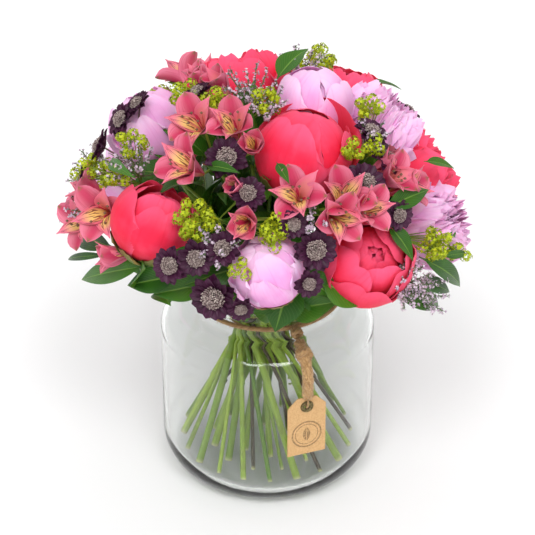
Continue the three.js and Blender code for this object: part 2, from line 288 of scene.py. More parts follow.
def add_stars(bundle, centres, axes, radius, arms, waist=0.45, cup=0.25, tint=0.5, slot=0):
    """Adds many tiny star flowers at once. The rim's points are near and far by turns, and lifted into a
    cup. One point above the middle and one below close the star."""
    side = unit(np.cross(axes, [0.23, 0.31, 0.92]))
    up = np.cross(axes, side)
    many = len(centres)
    radius = np.broadcast_to(radius, many)[:, None]
    turn = np.linspace(0, 7.0, many)[:, None]
    angle = turn + np.arange(2 * arms)[None] * np.pi / arms
    far = np.where(np.arange(2 * arms) % 2 == 0, 1.0, waist)[None] * radius
    rim = centres[:, None] + (far * np.cos(angle))[..., None] * side[:, None]
    rim = rim + (far * np.sin(angle))[..., None] * up[:, None] + (cup * far)[..., None] * axes[:, None]
    top = centres[:, None] + (0.12 * radius)[..., None] * axes[:, None]
    under = centres[:, None] - (0.22 * radius)[..., None] * axes[:, None]
    points = np.concatenate([rim, top, under], 1)
    size = 2 * arms + 2
    i = np.arange(2 * arms)
    j = (i + 1) % (2 * arms)
    faces = np.concatenate([
        np.stack([i, j, np.full(2 * arms, size - 2)], -1),
        np.stack([j, i, np.full(2 * arms, size - 1)], -1),
    ])
    faces = (faces[None] + (np.arange(many) * size)[:, None, None]).reshape(-1, 3)
    along = np.concatenate([np.ones(2 * arms), [0.0, 0.0]])
    numbers = np.stack([np.full(size, 0.5), along], -1)
    tints = np.repeat(np.broadcast_to(tint, many), size)
    bundle.add(points.reshape(-1, 3), faces, np.tile(numbers, (many, 1)), tints, slot)


# %% [markdown]
# ## Materials
#
# Every finish here is worked out by nodes. Petals and leaves read the across and along numbers of their
# own surface, so that veins run from the base to the tip however the petal turns. A small helper adds
# nodes and joins them, which keeps each material short enough to read.

# %% Node helpers
class Nodes:
    """A new material and a short way to add nodes to it."""

    def __init__(self, name):
        self.material = bpy.data.materials.new(name)
        self.material.use_nodes = True
        self.tree = self.material.node_tree
        self.surface = self.tree.nodes["Principled BSDF"]

    def add(self, kind, **settings):
        """A node of a kind. A setting with a lower-case name is the node's own, any other is a socket."""
        node = self.tree.nodes.new("ShaderNode" + kind)
        for key, value in settings.items():
            if key[0].islower():
                setattr(node, key, value)
            else:
                self.set(node.inputs[key.replace("_", " ")], value)
        return node

    def set(self, socket, value):
        """Joins an output to a socket, or gives the socket a plain value."""
        if isinstance(value, bpy.types.NodeSocket):
            self.tree.links.new(value, socket)
        else:
            socket.default_value = value

    def math(self, operation, a, b=0.0):
        """One sum on sockets or numbers."""
        node = self.add("Math", operation=operation)
        for socket, value in zip(node.inputs, (a, b)):
            self.set(socket, value)
        return node.outputs[0]

    def mix(self, share, a, b):
        """The colour a where share is 0 and the colour b where share is 1."""
        node = self.add("Mix", data_type="RGBA")
        self.set(node.inputs[0], share)
        self.set(node.inputs[6], a)
        self.set(node.inputs[7], b)
        return node.outputs[2]

    def ramp(self, value, low, high):
        """0 below low, 1 above high and a smooth step between. high may be the smaller."""
        node = self.add("MapRange", interpolation_type="SMOOTHSTEP")
        for socket, number in zip(node.inputs, (value, low, high, 0.0, 1.0)):
            self.set(socket, number)
        return node.outputs[0]

    def across_along(self):
        """How far across and how far along its own petal a point is, each from 0 to 1."""
        node = self.add("UVMap", uv_map="across_along")
        split = self.add("SeparateXYZ", Vector=node.outputs[0])
        return split.outputs[0], split.outputs[1]

    def tint(self):
        """The number from 0 to 1 that differs from petal to petal."""
        return self.add("Attribute", attribute_name="tint").outputs["Fac"]

    def noise(self, scale, detail=3.0, roughness=0.55, vector=None):
        """Cloudy noise, on the object's own coordinates in metres unless a vector is given."""
        if vector is None:
            vector = self.add("TexCoord").outputs["Object"]
        node = self.add("TexNoise", Vector=vector, Scale=scale, Detail=detail, Roughness=roughness)
        return node.outputs["Fac"]

    def stretched(self, across, along, wide, long):
        """A vector that repeats a pattern wide times across a petal and long times along it."""
        a = self.math("MULTIPLY", across, wide)
        b = self.math("MULTIPLY", along, long)
        c = self.math("MULTIPLY", self.tint(), 37.0)
        return self.add("CombineXYZ", X=a, Y=b, Z=c).outputs[0]

    def bump(self, height, distance, strength=1.0):
        """Raises the surface by a height, for the light only. distance is in metres."""
        node = self.add("Bump", Height=height, Distance=distance, Strength=strength)
        self.set(self.surface.inputs["Normal"], node.outputs[0])

    def finish(self, colour, roughness, **sockets):
        """Joins the colour and roughness, sets any other socket by name, and gives the material."""
        self.set(self.surface.inputs["Base Color"], colour)
        self.set(self.surface.inputs["Roughness"], roughness)
        for key, value in sockets.items():
            self.set(self.surface.inputs[key.replace("_", " ")], value)
        return self.material


def colour(red, green, blue):
    """A colour given as a screen shows it, from 0 to 255, turned into the light that Blender mixes."""
    share = np.array([red, green, blue]) / 255
    light = np.where(share <= 0.04045, share / 12.92, ((share + 0.055) / 1.055) ** 2.4)
    return (*light.tolist(), 1.0)


# %% Sizes of the jar, which the string and the stems go by too
low, high = node_box("vase")
JAR_RADIUS, JAR_HEIGHT = high[0], high[2]
WALL, BASE, FOOT_CORNER = 3.5, 7.0, 35.0
SHOULDER_FOOT, SHOULDER_CORNER = 142.0, 24.0
NECK_RADIUS, NECK_FILLET, LIP = 62.0, 5.0, 4.0
SHOULDER_TOP = SHOULDER_FOOT + SHOULDER_CORNER
print("the jar is", JAR_HEIGHT, "mm high and", 2 * JAR_RADIUS, "across")


# %% [markdown]
# ## Jute twine, the string and the tag
#
# Twine is strands wound round each other, so each strand is a tube along a helix about the twine's own
# path. Loose fibres stand out all over it. The tag's string is a free cord: it leaves the knot at the
# neck, lies over the shoulder and hangs in front of the glass down to the tag's eyelet.

# %% Twisted strands
def jute_material():
    """Straw-coloured fibres: fine streaks along the strand, some pale and some brown."""
    n = Nodes("jute")
    across, along = n.across_along()
    fibres = n.noise(1.0, 4.0, 0.7, n.stretched(across, along, 9.0, 30.0))
    shade = n.mix(n.ramp(fibres, 0.35, 0.7), colour(142, 104, 62), colour(214, 178, 128))
    shade = n.mix(n.math("MULTIPLY", n.tint(), 0.35), shade, colour(176, 136, 88))
    n.bump(fibres, 0.0005, 0.8)
    return n.finish(shade, 0.9, Sheen_Weight=0.25, Sheen_Roughness=0.6, Specular_IOR_Level=0.15)


JUTE = jute_material()


def across_frames(path, closed=False):
    """Two unit vectors across a path at each point, as add_tube takes them."""
    heading = np.roll(path, -1, 0) - np.roll(path, 1, 0) if closed else np.gradient(path, axis=0)
    heading = unit(heading)
    side = unit(np.cross(heading, np.linalg.svd(heading)[2][-1]))
    return side, np.cross(side, heading)


def add_twine(bundle, rng, path, radius, turns, strands=3, closed=False, fuzz=4.0):
    """Strands wound round a path, and loose fibres. fuzz is how many fibres stand on each millimetre."""
    side, up = across_frames(path, closed)
    many = len(path)
    share = np.arange(many) / (many if closed else many - 1)
    thin = 0.54 * radius
    for strand in range(strands):
        angle = 2 * np.pi * (turns * share + strand / strands)
        offset = np.cos(angle)[:, None] * side + np.sin(angle)[:, None] * up
        add_tube(bundle, path + (radius - thin) * offset, thin, 7, closed, rng.uniform(0, 1))
    length = np.linalg.norm(np.diff(path, axis=0), axis=1).sum()
    hairs = int(fuzz * length)
    spot = rng.integers(0, many - 1, hairs)
    angle = rng.uniform(0, 2 * np.pi, hairs)
    outward = np.cos(angle)[:, None] * side[spot] + np.sin(angle)[:, None] * up[spot]
    start = path[spot] + 0.8 * radius * outward
    wander = 0.8 * unit(np.gradient(path, axis=0))[spot] * rng.uniform(-1, 1, (hairs, 1))
    end = start + rng.uniform(0.8, 2.6, (hairs, 1)) * unit(outward + wander)
    add_stalks(bundle, start, end, 0.07, 0.5)


# %% The twine round the neck and the tie round the stems
def ring_path(radius, height, steps):
    """Points on a level circle about the upright axis."""
    angle = np.linspace(0, 2 * np.pi, steps, endpoint=False)
    return np.stack([radius * np.cos(angle), radius * np.sin(angle), height + 0 * angle], -1)


for node, name, turns in (("neck_twine", "neck_twine_strands", 60), ("stem_tie", "stem_tie_strands", 34)):
    low, high = node_box(node)
    section = (high[2] - low[2]) / 2
    ring = ring_path(high[0] - section, (low[2] + high[2]) / 2, 360)
    rng = np.random.default_rng(40)
    twine = Bundle()
    add_twine(twine, rng, ring, section * 1.1, turns, closed=True)
    twine.make(name, [JUTE], "jute", [node])


# %% The tag's string
TAG_AZIMUTH = 290
tag_out = direction(TAG_AZIMUTH, 90)
CORD_RADIUS = 4.4


def in_tag_plane(radius, height):
    """A point straight out from the jar's axis towards the tag."""
    return tag_out * radius + [0, 0, height]


def through(points, steps):
    """A smooth curve through a few points: each stretch is a cubic whose handles come from the
    neighbours on either side."""
    points = np.asarray(points)
    handle = np.gradient(points, axis=0) / 3
    parts = [
        bezier(points[k], points[k] + handle[k], points[k + 1] - handle[k + 1], points[k + 1], steps)[:-1]
        for k in range(len(points) - 1)
    ]
    return np.concatenate([*parts, points[-1:]])


string_knot = in_tag_plane(90.6, 167)
cord_route = through([
    in_tag_plane(79, 171.8), in_tag_plane(84, 170.6), string_knot, in_tag_plane(98, 158),
    in_tag_plane(101.3, 147), in_tag_plane(101.3, 137), in_tag_plane(100.4, 129.3),
], 4)

# The string is five loosely laid strands. A knot is tied in it just past the shoulder, and a single
# strand comes out of its end and loops through the eyelet.
rng = np.random.default_rng(41)
string = Bundle()
add_twine(string, rng, through(cord_route, 5), 1.16 * CORD_RADIUS, 1.6, 5, fuzz=14.0)
string_piece = string.make("tag_string", [JUTE], "jute", ["tag_cord"])


def add_knot(bundle, rng, middle, radius, strand, fuzz):
    """A twine wound twice round and three times in and out, which reads as a tight knot."""
    wind = np.linspace(0, 1, 90, endpoint=False)[:, None] * 2 * np.pi
    side = np.cross(tag_out, [0, 0, 1.0])
    upright = np.array([0, 0, 1.0])
    lump = np.cos(2 * wind) * side + np.sin(2 * wind) * upright + 0.8 * np.sin(3 * wind) * tag_out
    add_twine(bundle, rng, middle + (radius - strand) * lump, strand, 8, closed=True, fuzz=fuzz)


half_hitch = Bundle()
add_knot(half_hitch, rng, string_knot, 7.6, 3.0, 7.0)
half_hitch = half_hitch.make("string_knot", [JUTE], "jute")

eyelet_low, eyelet_high = node_box("tag_eyelet")
hole = (eyelet_low + eyelet_high) / 2
angle = np.linspace(0, 2 * np.pi, 60, endpoint=False)[:, None]
loop = in_tag_plane(JAR_RADIUS + 4.4, hole[2] + 5.75)
loop = loop + 2.8 * np.cos(angle) * tag_out + 6.75 * np.sin(angle) * np.array([0, 0, 1.0])
eyelet_strand = Bundle()
add_twine(eyelet_strand, rng, loop, 0.8, 9, closed=True, fuzz=3.0)
eyelet_strand = eyelet_strand.make("eyelet_strand", [JUTE], "jute")

knot_low, knot_high = node_box("twine_knot")
neck_knot = Bundle()
add_knot(neck_knot, rng, (knot_low + knot_high) / 2, 5.4, 2.2, 7.0)
neck_knot.make("neck_knot", [JUTE], "jute", ["twine_knot"])


# %% The tag and its eyelet keep the frame's shapes and get real finishes
def card_material():
    """Brown kraft card: felted fibres, and a round stamp of two rings and a plain leaf in dark ink. The
    stamp is worked out from the distance to the middle of the card, in the card's own plane."""
    n = Nodes("kraft card")
    low, high = node_box("tag")
    middle = (low + high) / 2 * MM
    turn = math.radians(TAG_AZIMUTH + 90)
    spot = n.add(
        "Mapping", vector_type="TEXTURE", Vector=n.add("TexCoord").outputs["Object"],
        Location=(middle[0], middle[1], middle[2] - 0.009), Rotation=(0, 0, turn),
    ).outputs[0]
    split = n.add("SeparateXYZ", Vector=spot)
    x, outward, z = split.outputs
    fibres = n.noise(900.0, 4.0, 0.7)
    flecks = n.noise(2600.0, 2.0, 0.6)
    shade = n.mix(n.ramp(fibres, 0.35, 0.65), colour(196, 154, 104), colour(216, 178, 130))
    shade = n.mix(n.math("MULTIPLY", n.ramp(flecks, 0.62, 0.72), 0.4), shade, colour(140, 100, 60))
    distance = n.math("SQRT", n.math("ADD", n.math("MULTIPLY", x, x), n.math("MULTIPLY", z, z)))
    ring_one = n.ramp(n.math("ABSOLUTE", n.math("SUBTRACT", distance, 0.0132)), 0.0009, 0.0006)
    ring_two = n.ramp(n.math("ABSOLUTE", n.math("SUBTRACT", distance, 0.0104)), 0.0005, 0.0003)
    reach = n.math("SUBTRACT", 1.0, n.math("POWER", n.math("MULTIPLY", n.math("ABSOLUTE", z), 130.0), 2.0))
    beside = n.math("ABSOLUTE", x)
    blade = n.ramp(n.math("SUBTRACT", n.math("MULTIPLY", reach, 0.0036), beside), 0.0, 0.0003)
    rib = n.ramp(beside, 0.0002, 0.0004)
    ink = n.math("MAXIMUM", n.math("MAXIMUM", ring_one, ring_two), n.math("MULTIPLY", blade, rib))
    worn = n.math("MULTIPLY", ink, n.ramp(n.noise(1400.0, 2.0), 0.36, 0.5))
    front = n.math("LESS_THAN", outward, 0.0)
    ink_share = n.math("MULTIPLY", n.math("MULTIPLY", worn, front), 0.72)
    shade = n.mix(ink_share, shade, colour(92, 72, 50))
    n.bump(fibres, 0.0002, 0.5)
    return n.finish(shade, 0.85, Specular_IOR_Level=0.2)


def eyelet_material():
    """Dull old brass, darker and smoother where it is worn least."""
    n = Nodes("antique brass")
    wear = n.noise(700.0, 3.0)
    shade = n.mix(n.ramp(wear, 0.4, 0.7), colour(86, 78, 52), colour(150, 134, 92))
    return n.finish(shade, n.math("ADD", n.math("MULTIPLY", wear, 0.3), 0.25), Metallic=0.9)


for node, material in (("tag", card_material()), ("tag_eyelet", eyelet_material())):
    NODES[node].data.materials.clear()
    NODES[node].data.materials.append(material)


# %% [markdown]
# ## Petals
#
# A petal is matt and a little translucent, with fine veins that fan out from its base. It is deepest in
# colour at the base and palest at the rim. The deep base is partly the petal's own colour and partly
# painted shade, where it lies deep in the bloom, and the pale rim and tip are partly a painted highlight.
# One recipe serves both peonies, with other colours.

# %% Peony petal materials
def petal_material(name, deep, body, rim, vein_strength):
    """Deep colour at the base, body colour in the middle and rim colour at the edge, with veins. The
    deep base is partly painted shade, and the pale rim and tip partly a painted highlight.
    """
    n = Nodes(name)
    across, along = n.across_along()
    from_middle = n.math("ABSOLUTE", n.math("SUBTRACT", across, 0.5))
    veins = n.noise(1.0, 2.0, 0.6, n.stretched(across, along, 26.0, 1.6))
    clouds = n.noise(55.0, 2.0)
    # Darker towards the base, where the petal lies deep in the bloom: partly its own colour, partly
    # painted shade.
    shade = n.mix(n.ramp(along, 0.15, 0.6), deep, body)
    # Paler at the tip and the edges: partly the petal's own paling, partly a painted highlight.
    pale_rim_and_highlight = n.math("MAXIMUM", n.ramp(along, 0.7, 1.0), n.ramp(from_middle, 0.3, 0.5))
    shade = n.mix(n.math("MULTIPLY", pale_rim_and_highlight, 0.75), shade, rim)
    shade = n.mix(n.math("MULTIPLY", n.ramp(veins, 0.5, 0.75), vein_strength), shade, deep)
    shade = n.mix(n.math("MULTIPLY", n.ramp(clouds, 0.45, 0.7), 0.25), shade, rim)
    shade = n.mix(n.math("MULTIPLY", n.tint(), 0.3), shade, deep)
    crinkles = n.noise(1.0, 3.0, 0.6, n.stretched(across, along, 6.0, 3.0))
    n.bump(n.math("ADD", n.math("MULTIPLY", veins, 0.35), crinkles), 0.0011, 0.5)
    return n.finish(
        shade, 0.6, Subsurface_Weight=0.15, Subsurface_Radius=(0.006, 0.002, 0.002), Subsurface_Scale=0.5,
        Sheen_Weight=0.05, Sheen_Roughness=0.5, Specular_IOR_Level=0.15,
    )


# The deep colours are partly painted shade at the petals' bases, and the rim colours partly painted
# highlight.
PETAL = {
    "coral": petal_material(
        "coral petal", colour(212, 14, 40), colour(250, 46, 82), colour(255, 98, 138), 0.2
    ),
    "pink": petal_material(
        "pink petal", colour(220, 104, 180), colour(243, 174, 226), colour(253, 218, 245), 0.22
    ),
}


# %% [markdown]
# ## Peony blooms
#
# A half-open peony is a ball of cupped petals that wrap over each other. Each petal is a patch of a
# sphere. It starts beside the stem, at the bottom of the ball, and its middle line climbs a meridian
# towards the top. Its width is laid off square to that meridian along another great circle, so that the
# patch never pinches, however far over the top it reaches. Ruffles, an outward flare and one edge
# tucked under the next petal are then added to the sphere's radius. Sheets like these, laid in rings
# from the inside out, could also be sculpted by hand, but the formula keeps every bloom different.

# %% The petals of a peony
def peony_petals(rng, ball, ring, rows=15, columns=15):
    """One ring of petals about local +Z, for a bloom of radius ball.

    The angle climbed from the bottom is reach times the share along, less where the rim rounds off.
    The half-width grows quickly to its full size and shrinks a little at the rim.
    """
    count, share, reach, width, flare, ruffle, *start = ring
    along = np.linspace(0, 1, rows)[None, :, None]
    across = np.linspace(-1, 1, columns)[None, None, :]

    def vary(spread):
        return rng.uniform(-spread, spread, count)[:, None, None]

    heading = (start[0] if start else rng.uniform(0, 360)) + np.arange(count) * 360 / count
    phi = np.radians(heading)[:, None, None] + vary(0.16)
    notch = 0.035 * np.exp(-((across / 0.14) ** 2)) * (1 + vary(0.9))
    rounding = 0.24 * np.abs(across) ** 3.4 + notch
    climb = np.radians(reach + vary(7)) * (1 - rounding * along**2) * (0.06 + 0.94 * along)
    swell = np.sin(np.pi / 2 * np.minimum(along / 0.62, 1)) ** 0.8
    narrow = 1 - 0.3 * np.clip((along - 0.62) / 0.38, 0, 1) ** 2
    reach_across = np.radians(width + vary(5)) * swell * narrow * across
    waves = np.sin(across * (3.2 + vary(0.9)) * np.pi + vary(3.0))
    waves = waves + 0.6 * np.sin(across * 8.5 + 9 * vary(1))
    curl = flare * along**3 + vary(0.03) * along**2
    tuck = 0.035 * across * along
    dent = 0.025 * np.sin(2.2 * along * np.pi + vary(3)) * np.cos(across * 2 + vary(2))
    radius = ball * share * (1 + curl + tuck + dent + ruffle * waves * along**3)
    radius = radius - 0.07 * ball * np.exp(-along / 0.1)
    meridian = np.stack(
        [np.sin(climb) * np.cos(phi), np.sin(climb) * np.sin(phi), -np.cos(climb)], -1
    )
    sideways = np.stack(np.broadcast_arrays(-np.sin(phi), np.cos(phi), 0 * climb), -1)
    points = np.cos(reach_across)[..., None] * meridian + np.sin(reach_across)[..., None] * sideways
    return radius[..., None] * points


# Each ring: petals, share of the ball's radius, angle climbed, half-width, flare, ruffle and, for a petal
# that has a place of its own, its heading.
CLOSED = [
    (4, 0.70, 176, 58, -0.04, 0.03),
    (3, 0.86, 184, 70, -0.03, 0.012),
    (3, 0.94, 166, 72, 0.0, 0.012),
    (3, 1.00, 138, 62, 0.03, 0.015),
]
CUPPED = [
    (4, 0.34, 184, 60, -0.05, 0.04),
    (4, 0.50, 176, 55, -0.05, 0.05),
    (4, 0.68, 172, 60, -0.04, 0.03),
    (3, 0.82, 160, 66, 0.0, 0.02),
    (3, 0.92, 148, 68, 0.02, 0.015),
    (4, 1.00, 132, 58, 0.03, 0.02),
]
SOFT = [
    (4, 0.30, 184, 60, -0.05, 0.04),
    (5, 0.45, 172, 50, -0.05, 0.08),
    (5, 0.64, 166, 50, -0.02, 0.06),
    (5, 0.80, 160, 54, 0.0, 0.045),
    (4, 0.91, 150, 60, 0.0, 0.03),
    (4, 1.00, 134, 58, 0.02, 0.03),
]
ROUND = [
    (4, 0.70, 184, 58, -0.03, 0.03),
    (4, 0.82, 188, 62, -0.02, 0.03),
    (4, 0.91, 176, 56, 0.0, 0.03),
    (4, 0.97, 150, 50, 0.02, 0.035),
    (5, 1.00, 116, 42, 0.02, 0.05),
]
RAGGED = [
    (6, 0.42, 165, 45, 0.1, 0.12),
    (7, 0.60, 150, 40, 0.12, 0.1),
    (7, 0.78, 142, 40, 0.16, 0.09),
    (6, 0.94, 132, 44, 0.16, 0.06),
    (6, 1.05, 118, 46, 0.18, 0.05),
    (5, 1.00, 92, 46, 0.08, 0.05),
]
FRILLED = [
    (7, 0.42, 170, 36, 0.14, 0.2),
    (10, 0.58, 160, 28, 0.14, 0.18),
    (12, 0.72, 150, 24, 0.14, 0.16),
    (12, 0.84, 140, 24, 0.12, 0.15),
    (11, 0.93, 126, 26, 0.1, 0.13),
    (9, 0.99, 108, 30, 0.07, 0.1),
    (6, 1.00, 88, 42, 0.05, 0.06),
]
# Each bloom: its form, and the azimuth and tilt that it faces.
BLOOMS = {
    "coral_peony_1": (CLOSED + [(1, 1.04, 150, 58, 0.2, 0.01, 96)], 40, 22),
    "coral_peony_2": (CUPPED, 30, 24),
    "coral_peony_3": (CUPPED, 292, 50),
    "coral_peony_4": (RAGGED, 110, 30),
    "coral_peony_5": (CUPPED, 60, 26),
    "coral_peony_6": (RAGGED, 12, 60),
    "coral_peony_7": (CUPPED, 110, 55),
    "pink_peony_1": (ROUND, 150, 34),
    "pink_peony_2": (CLOSED, 90, 14),
    "pink_peony_3": (ROUND, 205, 22),
    "pink_peony_4": (FRILLED, 18, 42),
    "pink_peony_5": (FRILLED, 340, 60),
    "pink_peony_6": (FRILLED, 66, 60),
    "pink_peony_7": (SOFT, 148, 66),
}


# %% Where the frame holds each head
DOME_MIDDLE = np.array([0, 0, 243.0])  # the flower heads stand out from here
DOME_RADII = np.array([175.0, 175.0, 155.0])
CORE = 0.8  # the frame's solid bloom is this share of the real one's radius


def on_dome(azimuth, tilt, share=1.0):
    """The point of the dome's skin in a direction, or inside it at a share of the way out. The dome is an
    ellipsoid, a little lower than it is wide."""
    return DOME_MIDDLE + share * DOME_RADII * direction(azimuth, tilt)


def bloom_ball(name):
    """The middle and radius of a peony's ball of petals, from its solid in the frame. The solid and the
    ball touch the skin of the bouquet's dome at the same point."""
    low, high = node_box(name + "_bloom")
    solid_middle = (low + high) / 2
    core = np.mean(high - low) / 2
    axis = unit(solid_middle - DOME_MIDDLE)
    ball = core / CORE
    return solid_middle - (ball - core) * axis, ball


# %% Build the blooms
PEONIES = sorted(BLOOMS)
for number, name in enumerate(PEONIES):
    rng = np.random.default_rng(100 + number)
    middle, ball = bloom_ball(name)
    bloom = Bundle()
    form, facing, tilt = BLOOMS[name]
    for ring in form:
        petals = aim(peony_petals(rng, ball, ring), middle, direction(facing, tilt))
        add_sheets(bloom, petals, 0.7, rng.uniform(0, 1, ring[0]))
    kind = name.split("_")[0]
    piece = bloom.make(name + "_petals", [PETAL[kind]], kind + "_petal", [name + "_bloom"])
    print(piece.name, len(piece.data.polygons), "faces, radius", round(ball, 1), "mm")


# %% [markdown]
# ## Stems
#
# The stems cross in a tight bundle inside the jar's neck and fan out below it, because a florist adds
# each one at the same slant. The frame has every stem as a coarse bar. Cutting such a bar with a level
# plane gives the middle of the stem at that height, and two cuts are enough: below the tie a stem is
# straight, and above it a smooth curve leads to the flower, which it meets along the flower's own axis.

# %% Trace a stem through the frame
WAIST_HEIGHT = 158.0
STEM_RADIUS = {
    "coral": 3.1, "pink": 3.1, "alstroemeria": 2.3, "astrantia": 1.7, "alchemilla": 1.7, "limonium": 1.6,
    "foliage": 2.0,
}


def slice_middle(node, height):
    """The mean of the points where a piece's edges cross a level plane."""
    mesh = NODES[node].data
    ends = np.empty(len(mesh.edges) * 2, int)
    mesh.edges.foreach_get("vertices", ends)
    a, b = node_points(node)[ends.reshape(-1, 2)].transpose(1, 0, 2)
    crossing = (a[:, 2] < height) != (b[:, 2] < height)
    a, b = a[crossing], b[crossing]
    share = (height - a[:, 2]) / (b[:, 2] - a[:, 2])
    return (a + share[:, None] * (b - a)).mean(0)


def stem_path(node, end, axis):
    """A straight line from the foot to the tie, then a curve to end that arrives along axis. Averaging
    each point with its neighbours rounds the bend at the tie."""
    lowest = node_points(node)[:, 2].min()
    foot = slice_middle(node, lowest + 4.0)
    waist = slice_middle(node, WAIST_HEIGHT)
    foot = foot - (waist - foot) * 2.5 / (waist - foot)[2]
    climb = np.linalg.norm(end - waist)
    upper = bezier(waist, waist + [0, 0, 0.3 * climb], end - 0.34 * climb * axis, end, 18)
    path = np.concatenate([np.linspace(foot, waist, 12)[:-1], upper])
    for _ in range(5):
        path[1:-1] = (path[:-2] + 2 * path[1:-1] + path[2:]) / 4
    return path


# %% Stem materials
def stem_material(name, pale, dark):
    """Green skin with faint streaks along it. A stem's tint chooses its own shade, and the cut is pale."""
    n = Nodes(name)
    across, along = n.across_along()
    streaks = n.noise(1.0, 3.0, 0.6, n.stretched(across, along, 5.0, 3.0))
    blotches = n.noise(70.0, 3.0)
    shade = n.mix(n.tint(), pale, dark)
    shade = n.mix(n.math("MULTIPLY", n.ramp(streaks, 0.45, 0.7), 0.45), shade, dark)
    shade = n.mix(n.math("MULTIPLY", n.ramp(blotches, 0.5, 0.75), 0.3), shade, colour(120, 96, 52))
    shade = n.mix(n.ramp(along, 0.012, 0.0), shade, colour(214, 216, 160))
    n.bump(streaks, 0.0004, 0.5)
    return n.finish(shade, 0.42, Specular_IOR_Level=0.4)


GREEN_STEM = stem_material("green stem", colour(184, 212, 84), colour(92, 132, 46))
PURPLE_STEM = stem_material("purple stem", colour(110, 104, 70), colour(58, 38, 48))


def make_stem(name, node, end, axis, tint, material):
    """Makes one stem as a piece of its own, thickest at the foot, and gives its path. It replaces the
    frame's node only where that node is nothing but the stem."""
    radius = STEM_RADIUS[name.split("_")[0]]
    path = stem_path(node, end, axis)
    along = np.linspace(0, 1, len(path))
    stem = Bundle()
    wobble = 1 + 0.05 * np.sin(along * 23 + 5 * tint)
    add_tube(stem, path, radius * wobble * (1.06 - 0.22 * along), 12, tint=tint)
    stem.make(name + "_round_stem", [material], "green_stem", [node] if node.endswith("_stem") else [])
    return path


# %% Peony stems and the green sepals under each bloom
def sepal_material():
    """Green that turns brown towards the tip, with darker clouds."""
    n = Nodes("green sepal")
    along = n.across_along()[1]
    shade = n.mix(n.ramp(along, 0.3, 1.0), colour(96, 138, 52), colour(150, 120, 70))
    shade = n.mix(n.math("MULTIPLY", n.noise(90.0), 0.5), shade, colour(70, 110, 40))
    return n.finish(shade, 0.5, Specular_IOR_Level=0.4)


SEPAL = sepal_material()
stem_paths = {}
for number, name in enumerate(PEONIES):
    rng = np.random.default_rng(300 + number)
    middle, ball = bloom_ball(name)
    axis = direction(*BLOOMS[name][1:])
    tint = rng.uniform(0, 1)
    end = middle - 0.9 * ball * axis
    stem_paths[name] = make_stem(name, name + "_stem", end, axis, tint, GREEN_STEM)
    calyx = Bundle()
    sepals = aim(peony_petals(rng, ball, (5, 1.03, 52, 22, 0.02, 0.01), 9, 9), middle, axis)
    add_sheets(calyx, sepals, 1.0, rng.uniform(0, 1, 5))
    calyx.make(name + "_sepals", [SEPAL], "leaf")
print(len(stem_paths), "peony stems")


# %% [markdown]
# ## Leaves
#
# A leaf is a sheet too. Its midrib is a line that bends steadily as it goes, its half-width follows a
# sine that is pushed towards the base and drawn out to a point, and its two halves fold up a little from
# the midrib like an open book. A slow wave runs along the edges. Many leaves are worked out in one go.

# %% Leaf shapes and material
def leaf_sheets(base, heading, face, length, width, bend, wave, rows=15, columns=9):
    """Leaves from their bases. All but rows and columns hold one value for each leaf.

    heading is where the stalk points and face is roughly where the upper side looks. bend is the angle
    that the midrib turns through, away from the face.
    """
    along = np.linspace(0, 1, rows)[None, :]
    across = np.linspace(-1, 1, columns)[None, None, :]
    length, width, bend, wave = (np.asarray(v, float)[:, None] for v in (length, width, bend, wave))
    side = unit(np.cross(heading, face))
    up = np.cross(side, heading)
    turn = bend * along**1.3
    step = length / (rows - 1)
    ahead = np.cumsum(np.cos(turn), 1) * step - step
    down = np.cumsum(np.sin(turn), 1) * step
    blade = np.clip((along - 0.1) / 0.9, 0, 1)
    half = 0.5 * width * np.maximum(np.sin(np.pi * blade**0.78) ** 0.85 * (1 - 0.5 * blade**3), 0.055)
    half[:, -1] = 0.12
    fold = 0.34 * np.abs(across) * half[..., None]
    ripple = wave[..., None] * np.sin(along * 9 + 4 * wave)[..., None] * across * np.abs(across)
    lift = fold + ripple * half[..., None] - down[..., None]
    return (
        base[:, None, None]
        + ahead[..., None, None] * heading[:, None, None]
        + (half[..., None] * across)[..., None] * side[:, None, None]
        + lift[..., None] * up[:, None, None]
    )


def leaf_material(name, dark, bright, rib):
    """Glossy green. The midrib and the slanting side veins are pale lines on the leaf's own map."""
    n = Nodes(name)
    across, along = n.across_along()
    from_middle = n.math("ABSOLUTE", n.math("SUBTRACT", across, 0.5))
    slant = n.math("SUBTRACT", n.math("MULTIPLY", along, 44.0), n.math("MULTIPLY", from_middle, 30.0))
    side_veins = n.ramp(n.math("ABSOLUTE", n.math("SINE", slant)), 0.22, 0.02)
    midrib = n.ramp(from_middle, 0.045, 0.015)
    clouds = n.noise(45.0, 3.0)
    shade = n.mix(n.tint(), dark, bright)
    shade = n.mix(n.math("MULTIPLY", n.ramp(clouds, 0.4, 0.7), 0.45), shade, bright)
    shade = n.mix(n.math("MULTIPLY", side_veins, 0.22), shade, rib)
    shade = n.mix(n.math("MULTIPLY", midrib, 0.7), shade, rib)
    height = n.math("ADD", n.math("MULTIPLY", side_veins, -0.5), n.math("MULTIPLY", midrib, -1.0))
    n.bump(height, 0.0006, 0.6)
    return n.finish(shade, 0.36, Specular_IOR_Level=0.32, Subsurface_Weight=0.05, Subsurface_Scale=0.3)


LEAF = leaf_material("glossy leaf", colour(16, 58, 8), colour(58, 118, 20), colour(120, 162, 62))


LEAF_THICKNESS = 0.6


def add_leaves(bundle, rng, base, heading, length, width, bend=(0.2, 0.9), wave=0.14):
    """Leaves at several bases. Their upper sides look up and away from the middle of the bouquet."""
    many = len(base)
    heading = unit(heading)
    face = unit(base - DOME_MIDDLE) + [0, 0, 0.7] + rng.uniform(-0.35, 0.35, (many, 3))
    sheets = leaf_sheets(
        base, heading, face, rng.uniform(*length, many), rng.uniform(*width, many),
        rng.uniform(*bend, many), rng.uniform(-wave, wave, many),
    )
    add_sheets(bundle, sheets, LEAF_THICKNESS, rng.uniform(0, 1, many))


